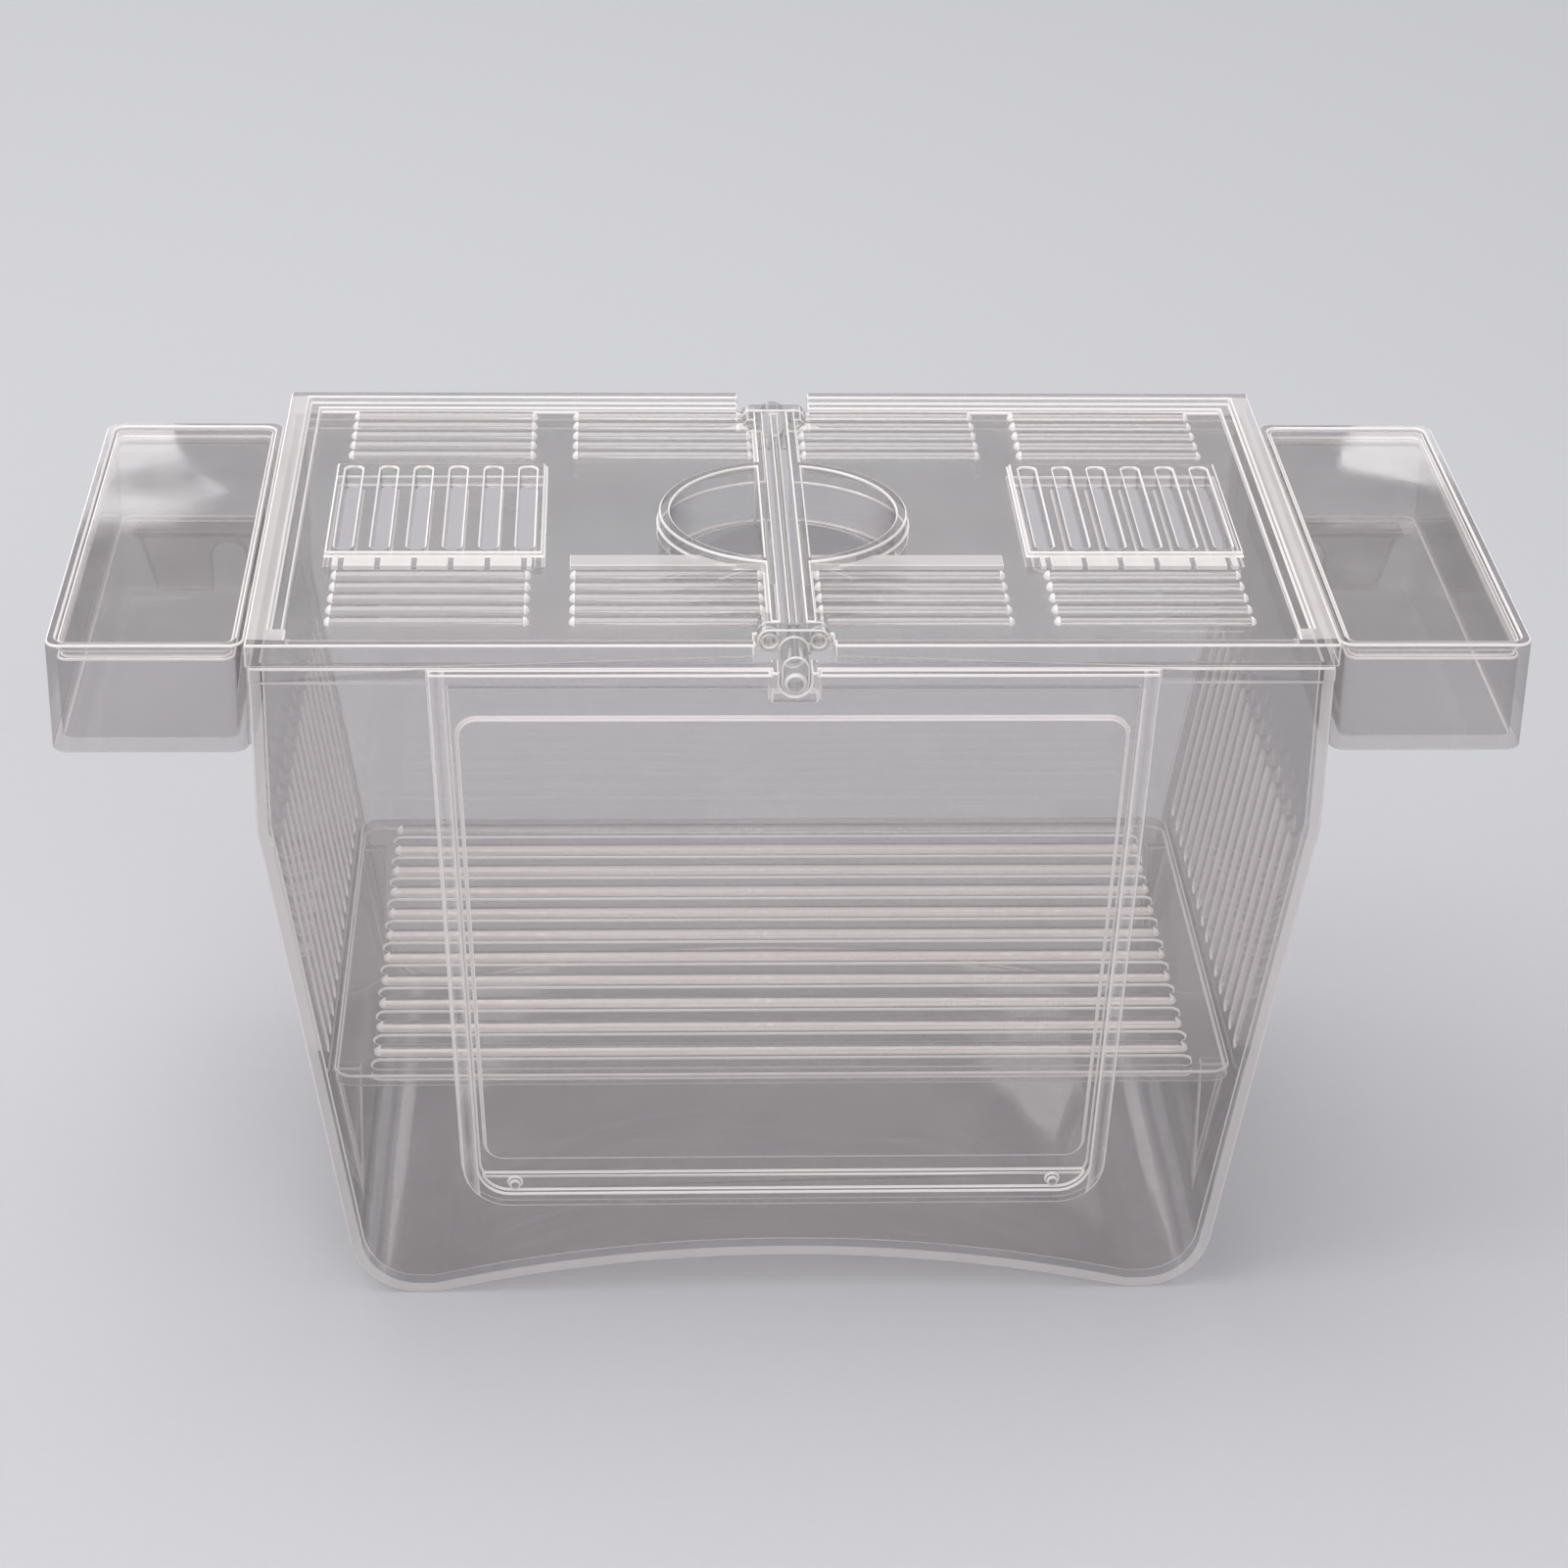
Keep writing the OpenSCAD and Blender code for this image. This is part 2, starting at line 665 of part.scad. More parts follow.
// Ribs in a front and a back band, in two lengths, and the row of wider bars before the vents
module grip_ribs() {
    z = plate_top - eps;
    h = rib_h + eps;
    out_y = tank_d / 2 + lid_over_y;
    for (band = [out_y - back_band_in, front_band_in - out_y], i = [0:rib_n - 1]) {
        y = band + (i - (rib_n - 1) / 2) * rib_pitch;
        bar_x(rib_in_x0, rib_in_x1, y, rib_w, z, h);
        bar_x(rib_out_x0, rib_out_x1, y, rib_w, z, h);
    }
    row_y = vent_y - vent_l / 2 - vent_margin - row_in - row_l;
    translate([rib_in_x0, row_y, z])
    cube([rib_in_x1 - rib_in_x0, row_l, h]);
    difference() {
        translate([rib_out_x0, row_y, z])
        cube([rib_out_x1 - rib_out_x0, row_l, h]);
        for (i = [0:vent_n - 1])
            translate([vent_place(i) - row_gap / 2, row_y - cut_over, plate_top])
            cube([row_gap, row_l + 2 * cut_over, 2 * h]);
    }
}

// Wedge cut that lifts the lower front edge towards the middle
module front_relief(in_x, out_y) {
    reach = frame_top_w / 2;
    translate([0, -out_y + end_rim_w / 2, 0])
    rotate([90, 0, 0])
    linear_extrude(end_rim_w)
    polygon([[in_x - cut_over, lid_z - cut_over], [reach, lid_z - cut_over], [reach, lid_z],
             [in_x - cut_over, lid_z + plate_t]]);
}

// One float tray, drawn on the right; side = -1 mirrors it
module float_tray(side) {
    inner_x = float_upper_x + float_wall;
    hollow_w = float_x1 - float_wall - inner_x;
    hollow_l = float_l - 2 * float_wall;
    translate([0, tank_y + float_y0, float_z0])
    color(float_tint)
    scale([side, 1, 1])
    difference() {
        union() {
            translate([float_upper_x, 0, 0])
            round_box([float_x1 - float_upper_x, float_l, float_h], float_r);
            translate([half_w, float_r, 0])
            cube([float_upper_x - half_w + eps, float_l - 2 * float_r, tank_h - float_z0]);
        }
        translate([inner_x, float_wall, float_wall])
        round_box([hollow_w, hollow_l, float_h], float_r - float_wall / 2);
    }
    // Ledge under the cover
    translate([0, tank_y + float_y0, float_top - cover_in - cover_t - cover_clear - ledge_t])
    color(float_tint)
    scale([side, 1, 1])
    translate([inner_x - eps, float_wall - eps, 0])
    difference() {
        round_box([hollow_w + 2 * eps, hollow_l + 2 * eps, ledge_t], float_r - float_wall / 2);
        translate([cover_ledge, cover_ledge, -cut_over])
        round_box([hollow_w - 2 * cover_ledge, hollow_l - 2 * cover_ledge, ledge_t + 2 * cut_over],
                  float_r / 2);
    }
}

module float_cover(side) {
    c = float_wall + cover_clear;
    w = float_x1 - float_upper_x - 2 * c;
    translate([0, tank_y + float_y0 + c, float_top - cover_in - cover_t])
    color(float_tint)
    scale([side, 1, 1])
    translate([float_upper_x + c, 0, 0])
    round_box([w, float_l - 2 * c, cover_t], float_r - float_wall / 2);
}

// Bracket under the back of a float, with an open slot for a suction cup neck
module cup_bracket(side) {
    x0 = half_w + bracket_gap;
    y1 = tank_y + float_y0 + float_l - bracket_back;
    slot_x = x0 + cup_leg + cup_slot_w / 2;
    translate([0, y1, float_z0])
    color(float_tint)
    scale([side, 1, 1]) {
        rotate([90, 0, 0])
        linear_extrude(bracket_t)
        difference() {
            polygon([[x0, 0], [x0 + bracket_w, 0], [x0 + bracket_w - bracket_taper, -bracket_h],
                     [x0, -bracket_h]]);
            translate([slot_x, -bracket_h + cup_slot_h - cup_slot_w / 2])
            circle(d = cup_slot_w);
            translate([slot_x - cup_slot_w / 2, -bracket_h - cut_over])
            square([cup_slot_w, cup_slot_h - cup_slot_w / 2 + cut_over]);
        }
        translate([x0, -foot_d, -foot_t])
        cube([bracket_w, foot_d, foot_t]);
    }
}

tank_body();
fry_shelf();
hinge_bar();
lid_leaf(-1);  // left_lid
lid_leaf(1);  // right_lid
float_tray(-1);  // left_float_tray
float_tray(1);  // right_float_tray
float_cover(-1);  // left_float_cover
float_cover(1);  // right_float_cover
cup_bracket(-1);  // left_cup_bracket
cup_bracket(1);  // right_cup_bracket
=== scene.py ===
"""Floating fish breeding box in clear moulded polystyrene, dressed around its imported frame.

Laid out as an add-on: sizes and colours are properties, each piece or group of like pieces
has its own operator, and a panel in the sidebar lists them. Blender lengths are metres; the
shape functions below take millimetres and MM turns them into metres.
"""

import json
import math
from types import SimpleNamespace

import bmesh
import bpy
from bpy.props import FloatProperty, FloatVectorProperty, IntProperty, PointerProperty
from mathutils import Matrix, Vector

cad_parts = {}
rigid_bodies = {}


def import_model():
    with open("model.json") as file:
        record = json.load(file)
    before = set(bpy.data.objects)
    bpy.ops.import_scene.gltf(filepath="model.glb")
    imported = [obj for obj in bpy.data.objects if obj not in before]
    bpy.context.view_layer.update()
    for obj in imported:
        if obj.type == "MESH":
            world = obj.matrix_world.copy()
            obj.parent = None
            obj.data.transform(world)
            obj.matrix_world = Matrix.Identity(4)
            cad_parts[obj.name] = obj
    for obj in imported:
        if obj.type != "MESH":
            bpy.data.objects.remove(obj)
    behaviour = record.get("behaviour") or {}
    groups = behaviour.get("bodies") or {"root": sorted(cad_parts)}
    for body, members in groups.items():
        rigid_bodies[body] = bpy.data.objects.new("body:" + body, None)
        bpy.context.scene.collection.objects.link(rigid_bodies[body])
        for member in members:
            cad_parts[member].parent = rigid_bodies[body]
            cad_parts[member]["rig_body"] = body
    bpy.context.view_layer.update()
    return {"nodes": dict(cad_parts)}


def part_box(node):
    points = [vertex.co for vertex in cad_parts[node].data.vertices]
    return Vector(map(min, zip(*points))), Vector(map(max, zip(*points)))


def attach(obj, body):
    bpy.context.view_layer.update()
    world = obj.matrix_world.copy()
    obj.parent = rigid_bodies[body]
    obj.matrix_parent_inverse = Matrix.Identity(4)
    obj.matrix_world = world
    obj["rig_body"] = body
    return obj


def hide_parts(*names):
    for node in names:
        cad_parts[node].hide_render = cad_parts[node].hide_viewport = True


bl_info = {
    "name": "Fish breeding box",
    "version": (1, 0, 0),
    "blender": (4, 5, 0),
    "location": "3D View > Sidebar > Breeding box",
    "description": "Builds the clear breeding box, its lid, shelf, floats and stage",
    "category": "Object",
}

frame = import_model()

MM = 0.001
QUARTER = math.pi / 2
# A hair's breadth in millimetres, so that two faces don't lie in one plane
HAIR = 0.02
NODES = frame["nodes"]


def node_mm(name):
    """Lowest and highest corner of a CAD node, in millimetres."""
    low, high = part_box(name)
    return low / MM, high / MM


TANK_HIGH = node_mm("tank_body")[1]
SHELF_LOW, SHELF_HIGH = node_mm("fry_shelf")
LID_LOW, LID_HIGH = node_mm("right_lid")
MIDDLE_Y = (LID_LOW.y + LID_HIGH.y) / 2
# Face of the tank's front wall, behind the frame: as far from the middle as the back face
FRONT_Y = 2 * MIDDLE_Y - TANK_HIGH.y


def linear(hex_colour):
    """Turn an sRGB hex colour into the linear RGB that shaders take."""
    channels = [int(hex_colour[i : i + 2], 16) / 255 for i in (1, 3, 5)]
    return [c / 12.92 if c <= 0.04045 else ((c + 0.055) / 1.055) ** 2.4 for c in channels]


# ---------------------------------------------------------------- sizes and colours


def mm(name, default, about):
    """A length property, its default given in millimetres."""
    return FloatProperty(
        name=name, description=about, default=default * MM, unit="LENGTH", precision=5
    )


def count(name, default, about):
    """A property for how many there are."""
    return IntProperty(name=name, description=about, default=default, min=1, max=60)


def colour(name, hex_colour, about):
    """A colour property, its default given as an sRGB hex value."""
    return FloatVectorProperty(
        name=name, description=about, default=linear(hex_colour), size=3, min=0, max=1, subtype="COLOR"
    )


def share(name, default, about):
    """A share, from 0 to 1."""
    return FloatProperty(name=name, description=about, default=default, min=0, max=1, subtype="FACTOR")


def angle(name, degrees, about):
    """An angle property, its default given in degrees."""
    return FloatProperty(
        name=name, description=about, default=math.radians(degrees), unit="ROTATION"
    )


class TankShape(bpy.types.PropertyGroup):
    """Sizes of the tank's section, which show where its walls are seen end on"""

    wall: mm("Wall", 2.2, "Thickness of the walls and the floor")
    half: mm("Half width", 96.5, "From the middle to the outside of the upper side walls")
    kink: mm("Kink", 101.3, "Height where the side walls start to lean inwards")
    lean: angle("Lean", 8.7, "Lean of the lower side walls")
    corner: mm("Corner radius", 13, "Radius of the lower corners")
    foot: mm("Foot", 3.5, "Width of the flat strips that the tank stands on")
    rise: mm("Arch", 8, "Rise of the arched floor at its middle")
    frame_top: mm("Frame top", 65, "Half width of the front frame level with the tank's rim")
    frame_foot: mm("Frame foot", 60.5, "Half width of the front frame at its foot")
    frame_from: mm("Frame height", 21.5, "Height of the frame's foot above the ground")
    frame_bar: mm("Frame bar", 3, "Width of the frame's bars")


class ShelfShape(bpy.types.PropertyGroup):
    """Sizes of the slotted fry shelf"""

    thick: mm("Thickness", 2.4, "Thickness of the plate under the bars")
    corner: mm("Corner radius", 4, "Radius of the plate's corners")
    bars: count("Bars", 11, "Raised bars, with one drop slot in front of each")
    pitch: mm("Pitch", 8.75, "Distance from one bar to the next")
    shift: mm("Shift", 1.5, "Shift of the bars towards the back")
    margin: mm("Margin", 7, "Solid margin at each end of the slots")
    slot: mm("Slot width", 3.4, "Width of one drop slot")
    bar: mm("Bar width", 3.6, "Width of one raised bar")


class LidShape(bpy.types.PropertyGroup):
    """Sizes of one lid leaf"""

    plate: mm("Plate", 2, "Thickness of the plate")
    side_rim: mm("Side rim", 3.9, "Width of the outer rim")
    end_rim: mm("End rim", 2.6, "Width of the front and back rims")
    channel_rim: mm("Channel rim", 2, "Width of the rim along the middle channel")
    step: mm("Step", 2.3, "Width of the low step inside the rims")
    step_up: mm("Step height", 1, "Height of the low step above the plate")
    channel: mm("Channel", 2.2, "Half of the channel between the leaves")
    ribs: count("Ribs", 5, "Grip ribs in one band")
    rib_pitch: mm("Rib pitch", 4.9, "Distance from one grip rib to the next")
    rib: mm("Rib width", 2.9, "Width of one grip rib")
    rib_up: mm("Rib height", 1.25, "Height of a grip rib above the plate")
    corner: mm("Front corner", 7, "Length and width of the solid front corner")
    relief: mm("Relief", 65, "From the middle of the box to where the lower front edge starts to rise")
    inner_from: mm("Inner ribs from", 4.6, "Near end of the inner ribs")
    inner_to: mm("Inner ribs to", 40.2, "Far end of the inner ribs")
    outer_from: mm("Outer ribs from", 47.2, "Near end of the outer ribs")
    outer_to: mm("Outer ribs to", 84, "Far end of the outer ribs")
    row_in: mm("Row place", 1.2, "Gap between the vent field and the row of bars before it")
    row: mm("Row width", 4.6, "Width of the bars in that row")
    row_up: mm("Row height", 0.9, "Height of those bars above the plate")
    row_gap: mm("Row gap", 1, "Gap in the outer bar in line with each vent")
    back_band: mm("Back band", 17.7, "From the back edge in to the middle of the back ribs")
    front_band: mm("Front band", 23.9, "From the front edge in to the middle of the front ribs")
    vents: count("Vents", 6, "Vent slots in one leaf")
    vent_pitch: mm("Vent pitch", 6.75, "Distance from one vent to the next")
    vent: mm("Vent width", 3.2, "Width of one vent slot")
    vent_long: mm("Vent length", 38.5, "Length of one vent slot")
    vent_margin: mm("Vent margin", 1.6, "Margin of the vent field in front of and behind the slots")
    vent_x: mm("Vent place", 65.5, "From the middle of the box to the middle of the vents")
    vent_y: mm("Vent middle", 5, "Middle of the vents along the depth")
    vent_down: mm("Vent wall below", 1.8, "Depth of the vent walls below the plate")
    vent_up: mm("Vent wall above", 0.9, "Height of the vent walls above the plate")
    port: mm("Port radius", 23.6, "Outside radius of the feed port")
    port_wall: mm("Port wall", 2.2, "Wall thickness of the feed port")
    port_deep: mm("Port depth", 12.5, "Depth of the feed port from the lid top")


class HingeShape(bpy.types.PropertyGroup):
    """Sizes of the pivots that the leaves share with the hinge bar"""

    pivot_x: mm("Pivot place", 4.4, "From the middle of the box to a pivot")
    pivot_down: mm("Pivot depth", 2.2, "Depth of the pivots below the lid top")
    pin: mm("Pin", 2.4, "Diameter of a pivot pin")
    pin_short: mm("Pin end", 0.3, "Distance that a pin stops short of the head's outer face")
    boss: mm("Boss", 4.2, "Diameter of the boss that carries a pin")
    boss_long: mm("Boss length", 4, "Length of a boss")
    gap: mm("Gap", 0.4, "Gap between the cross heads and the leaves")
    head_out: mm("Head place", 52.3, "From the middle of the depth to a head's outer face")
    head: mm("Head", 3.2, "Thickness of a cross head")


class PlasticLook(bpy.types.PropertyGroup):
    """Colours, haze, painted glow and edges of the clear plastic"""

    edge: mm("Edge radius", 0.4, "Radius along the moulded edges")
    small_edge: mm("Hinge bar edge radius", 0.3, "Radius along the edges of the hinge bar")
    fine_edge: mm("Fine edge radius", 0.15, "Radius on a leaf's pins, bosses and bars before the vents")
    body: colour("Body", "#F4F3F3", "Colour that passes straight through a wall")
    stress: colour("Stress", "#F1F3F2", "Faint green where a plate cooled under stress")
    slant: colour("Slant", "#A09D9E", "Colour that passes through a wall seen at a slant")
    turned: colour("Turned", "#5E585C", "Colour that passes where a round face turns away")
    # Pale diffuse colour of the haze, and of the painted glow on edges, rims, bars and wall ends
    glow: colour("Edge glow", "#F8F2F1", "Colour of the light that the edges gather")
    tank_haze: share("Tank haze", 0.05, "Share of light that the tank's walls scatter")
    lid_haze: share("Lid haze", 0.09, "Share of light that the lid's plates scatter")
    shelf_haze: share("Shelf haze", 0.1, "Share of light that the fry shelf scatters")
    float_haze: share("Float haze", 0.07, "Share of light that the floats scatter")
    # The rims' and bars' shares are a painted glow of light gathered in the solid plastic
    rim_glow: share("Rim frost", 0.4, "Share of light that the lid's frosted rims scatter")
    bar_glow: share("Bar frost", 0.6, "Share of light that the bars before the vents scatter")
    # Painted glow where a tank wall is seen end on, and painted highlights on the front frame's uprights
    ends: share("End glow", 0.42, "Share of light scattered where a wall is seen end on")
    edge_clear: share("Edge clearness", 0.35, "Share of light that passes through a rounded edge")
    edge_rough: share("Edge roughness", 0.15, "Roughness of the rounded edges at their dullest")
    rib_clear: share("Rib clearness", 0.92, "Share of light that passes through a domed rib")
    rib_rough: share("Rib roughness", 0.05, "Roughness of the domed ribs at their dullest")
    flow: mm("Mould flow", 30.3, "Distance from one slow ripple of the mould flow to the next")
    patches: mm("Haze patches", 12.5, "Distance from one patch of haze to the next")
    nicks: mm("Edge nicks", 3.85, "Distance from one dull spot of an edge to the next")


class StageLook(bpy.types.PropertyGroup):
    """Floor, room light and camera"""

    floor: colour("Floor", "#BFBFC2", "Colour of the studio paper")
    fibre: mm("Paper fibre", 2.5, "Distance from one clump of paper fibre to the next")
    overhead: colour("Overhead", "#F4F5F8", "Colour of the soft light from above")
    level: colour("Level", "#6A6A70", "Colour of the room at the level of the box")
    surround: share("Surround", 0.7, "Strength of the room's light")
    eye: FloatVectorProperty(
        name="Camera place",
        description="Where the camera stands",
        subtype="TRANSLATION",
        default=(-0.03153, -0.66935, 0.43771),
    )
    yaw: angle("Yaw", 2.8, "Turn to the right")
    pitch: angle("Pitch", 28.04, "Tilt down")
    roll: angle("Roll", 1.18, "Turn about the view")
    lens: FloatProperty(name="Lens", description="Focal length", default=88.74, unit="CAMERA")


# ---------------------------------------------------------------- node helper and materials

POLYSTYRENE_IOR = 1.59
# Share of a lamp's light that passes a face which it meets head on
LAMP_PASS = 0.97
# Roughness of the plastic as the mould polished it, and where it has been handled most
POLISHED = 0.02
HANDLED = 0.09
# How much less of the light is scattered between the patches of haze
CLEARER = 0.03
# Height of the mould flow's ripples in millimetres, raised so that the reflections bend
RIPPLE = 2
# How late a wall darkens, a polished face mirrors and an edge dims as it turns from the eye
SLANT_POWER = 3
MIRROR_POWER = 5
TURN_POWER = 1.4
# Share that a polished face mirrors head on, as its IOR gives, and at a glance
MIRROR_HEAD_ON = 0.05
MIRROR_AT_A_GLANCE = 0.9
# Faces whose normal lies along the depth by more than this share look to the front or the back
UPRIGHT_OVER = 0.7
# Brightness of the fibre clumps beside the rest of the paper
FIBRE_SHADE = 0.97


def add_node(tree, kind, inputs=None, **settings):
    """Add one node. inputs holds values, or sockets to link, by name or number."""
    node = tree.nodes.new(kind)
    for key, value in settings.items():
        setattr(node, key, value)
    for key, value in (inputs or {}).items():
        if isinstance(value, bpy.types.NodeSocket):
            tree.links.new(value, node.inputs[key])
        else:
            node.inputs[key].default_value = value
    return node


def blank_material(name):
    """A new material and its empty node tree."""
    material = bpy.data.materials.new(name)
    material.use_nodes = True
    material.node_tree.nodes.clear()
    return material, material.node_tree


def shadowed(tree, surface, tint):
    """Let the lamps shine through a clear shader, tinted, and write it to the output."""
    facing = add_node(tree, "ShaderNodeLayerWeight", {"Blend": 0.4})
    passed = add_node(
        tree,
        "ShaderNodeMixRGB",
        {
            "Fac": facing.outputs["Facing"],
            "Color1": (LAMP_PASS, LAMP_PASS, LAMP_PASS, 1),
            "Color2": (*tint, 1),
        },
    )
    open_way = add_node(tree, "ShaderNodeBsdfTransparent", {"Color": passed.outputs["Color"]})
    ray = add_node(tree, "ShaderNodeLightPath").outputs["Is Shadow Ray"]
    mix = add_node(tree, "ShaderNodeMixShader", {0: ray, 1: surface, 2: open_way.outputs[0]})
    add_node(tree, "ShaderNodeOutputMaterial", {"Surface": mix.outputs[0]})


def painted_end_glow(tree, place, tank):
    """Mask, from 0 to 1, for the painted glow of a wall's gathered light at a spot of the tank.

    The eye looks along the side walls and the arched floor where the front and back faces
    cover their ends. Painted highlights on the uprights of the front frame are brightest at their two
    sides."""
    lean = math.tan(tank.lean)
    corner_x = tank.half - (tank.kink - tank.corner) * lean - tank.corner / math.cos(tank.lean)
    arch_x = corner_x - tank.foot
    arch = (arch_x**2 + tank.rise**2) / (2 * tank.rise)
    rim = TANK_HIGH.z * MM
    taper = (tank.frame_top - tank.frame_foot) / (rim - tank.frame_from)
    spot = add_node(tree, "ShaderNodeSeparateXYZ", {0: place}).outputs
    normal = add_node(tree, "ShaderNodeNewGeometry").outputs["Normal"]
    faces = add_node(tree, "ShaderNodeSeparateXYZ", {0: normal}).outputs
    known = {"x": spot["X"], "y": spot["Y"], "z": spot["Z"], "normal y": faces["Y"]}
    for name, operation, first, second in (
        ("out", "ABSOLUTE", "x", 0),
        # Side walls, upright above the kink and leaning in below it
        ("fall", "SUBTRACT", tank.kink, "z"),
        ("fall", "MAXIMUM", "fall", 0),
        ("in", "MULTIPLY", "fall", lean),
        ("inside", "SUBTRACT", tank.half - tank.wall, "in"),
        ("walls", "GREATER_THAN", "out", "inside"),
        # Round lower corners with the flat feet, by the distance from a corner's middle, squared
        ("past", "SUBTRACT", "out", corner_x),
        ("past", "MAXIMUM", "past", 0),
        ("past", "MULTIPLY", "past", "past"),
        ("under", "SUBTRACT", tank.corner, "z"),
        ("under", "MAXIMUM", "under", 0),
        ("under", "MULTIPLY", "under", "under"),
        ("turn", "ADD", "past", "under"),
        ("turn", "GREATER_THAN", "turn", (tank.corner - tank.wall) ** 2),
        ("low", "LESS_THAN", "z", tank.corner),
        ("corners", "MULTIPLY", "low", "turn"),
        # Arched floor, by the distance from the arch's middle, squared
        ("up", "ADD", "z", arch - tank.rise),
        ("up", "MULTIPLY", "up", "up"),
        ("along", "MULTIPLY", "x", "x"),
        ("bow", "ADD", "up", "along"),
        ("floor", "LESS_THAN", "bow", (arch + tank.wall) ** 2),
        # All of these, on the faces that look to the front or the back
        ("ends", "MAXIMUM", "corners", "floor"),
        ("ends", "MAXIMUM", "ends", "walls"),
        ("facing", "ABSOLUTE", "normal y", 0),
        ("upright", "GREATER_THAN", "facing", UPRIGHT_OVER),
        ("ends", "MULTIPLY", "ends", "upright"),
        # Uprights of the front frame, which taper to its foot: painted highlights, bright at both sides of
        # a bar
        ("drop", "SUBTRACT", rim, "z"),
        ("drop", "MULTIPLY", "drop", taper),
        ("inner", "SUBTRACT", tank.frame_top - tank.frame_bar, "drop"),
        ("bars", "GREATER_THAN", "out", "inner"),
        ("width", "SUBTRACT", "out", "inner"),
        ("width", "DIVIDE", "width", tank.frame_bar / 2),
        ("width", "SUBTRACT", "width", 1),
        ("sides", "ABSOLUTE", "width", 0),
        ("bars", "MULTIPLY", "bars", "sides"),
        # They stand proud of the front wall
        ("proud", "LESS_THAN", "y", (FRONT_Y - HAIR) * MM),
        ("bars", "MULTIPLY", "bars", "proud"),
        ("ends", "MAXIMUM", "ends", "bars"),
    ):
        values = {0: known.get(first, first), 1: known.get(second, second)}
        known[name] = add_node(tree, "ShaderNodeMath", values, operation=operation).outputs[0]
    return known["ends"]


def clear_wall(name, look, haze_and_glow, patch_tint, tank=None):
    """Clear polystyrene, injection moulded: thin walls pass light straight, with a soft gloss.

    haze_and_glow is the share of light that a pale diffuse part scatters: haze from rinsing marks
    and handling, and on the lid's rims and bars a painted glow of light gathered in the solid
    plastic. patch_tint colours the patches of the mould flow. A tank's walls also get a painted
    glow where they are seen end on."""
    material, tree = blank_material(name)
    place = add_node(tree, "ShaderNodeTexCoord").outputs["Object"]
    # Slow ripples of the mould flow bend the reflections
    flow = add_node(
        tree, "ShaderNodeTexNoise", {"Vector": place, "Scale": 1 / look.flow, "Detail": 0.0}
    )
    bump = add_node(
        tree,
        "ShaderNodeBump",
        {"Height": flow.outputs["Fac"], "Strength": 0.25, "Distance": RIPPLE * MM},
    )
    # Handling leaves patches, which are a little duller and hazier than the polished plastic
    patches = add_node(
        tree,
        "ShaderNodeTexNoise",
        {"Vector": place, "Scale": 1 / look.patches, "Detail": 3.0, "Roughness": 0.6},
    )
    rough = add_node(
        tree,
        "ShaderNodeMapRange",
        {
            "Value": patches.outputs["Fac"],
            "From Min": 0.3,
            "From Max": 0.75,
            "To Min": POLISHED,
            "To Max": HANDLED,
        },
    )
    haze_and_glow_mask = add_node(
        tree,
        "ShaderNodeMapRange",
        {
            "Value": patches.outputs["Fac"],
            "From Min": 0.3,
            "From Max": 0.8,
            "To Min": haze_and_glow - CLEARER,
            "To Max": haze_and_glow,
        },
    ).outputs["Result"]
    # A tank's walls add a painted glow where a wall is seen end on
    if tank:
        ends = painted_end_glow(tree, place, tank)
        lit = add_node(tree, "ShaderNodeMath", {0: ends, 1: look.ends}, operation="MULTIPLY")
        haze_and_glow_mask = add_node(tree, "ShaderNodeMath", {0: haze_and_glow_mask, 1: lit.outputs[0]}, operation="ADD").outputs[0]
    # A slanted wall puts more plastic in the way, so less light passes
    facing = add_node(tree, "ShaderNodeLayerWeight", {"Blend": 0.5, "Normal": bump.outputs["Normal"]})
    facing = facing.outputs["Facing"]
    slant = add_node(tree, "ShaderNodeMath", {0: facing, 1: SLANT_POWER}, operation="POWER")
    # The flow's patches cooled under more or less stress, which tints them
    patch = add_node(
        tree, "ShaderNodeMapRange", {"Value": flow.outputs["Fac"], "From Min": 0.35, "From Max": 0.65}
    )
    clear = add_node(
        tree,
        "ShaderNodeMixRGB",
        {"Fac": patch.outputs["Result"], "Color1": (*look.body, 1), "Color2": (*patch_tint, 1)},
    )
    passed = add_node(
        tree,
        "ShaderNodeMixRGB",
        {"Fac": slant.outputs[0], "Color1": clear.outputs["Color"], "Color2": (*look.slant, 1)},
    )
    through = add_node(tree, "ShaderNodeBsdfTransparent", {"Color": passed.outputs["Color"]})
    # Pale diffuse part: the haze, and the painted glow on rims, bars and tank wall ends
    haze_and_glow_scatter = add_node(tree, "ShaderNodeBsdfDiffuse", {"Color": (*look.glow, 1)})
    wall = add_node(tree, "ShaderNodeMixShader", {0: haze_and_glow_mask, 1: through.outputs[0], 2: haze_and_glow_scatter.outputs[0]})
    # The polished face mirrors little head on and most of the room at a glance
    gloss = add_node(
        tree,
        "ShaderNodeBsdfGlossy",
        {"Color": (1, 1, 1, 1), "Roughness": rough.outputs["Result"], "Normal": bump.outputs["Normal"]},
    )
    steep = add_node(tree, "ShaderNodeMath", {0: facing, 1: MIRROR_POWER}, operation="POWER")
    mirror = add_node(
        tree,
        "ShaderNodeMapRange",
        {"Value": steep.outputs[0], "To Min": MIRROR_HEAD_ON, "To Max": MIRROR_AT_A_GLANCE},
    )
    mix = add_node(
        tree, "ShaderNodeMixShader", {0: mirror.outputs["Result"], 1: wall.outputs[0], 2: gloss.outputs[0]}
    )
    shadowed(tree, mix.outputs[0], look.slant)
    return material


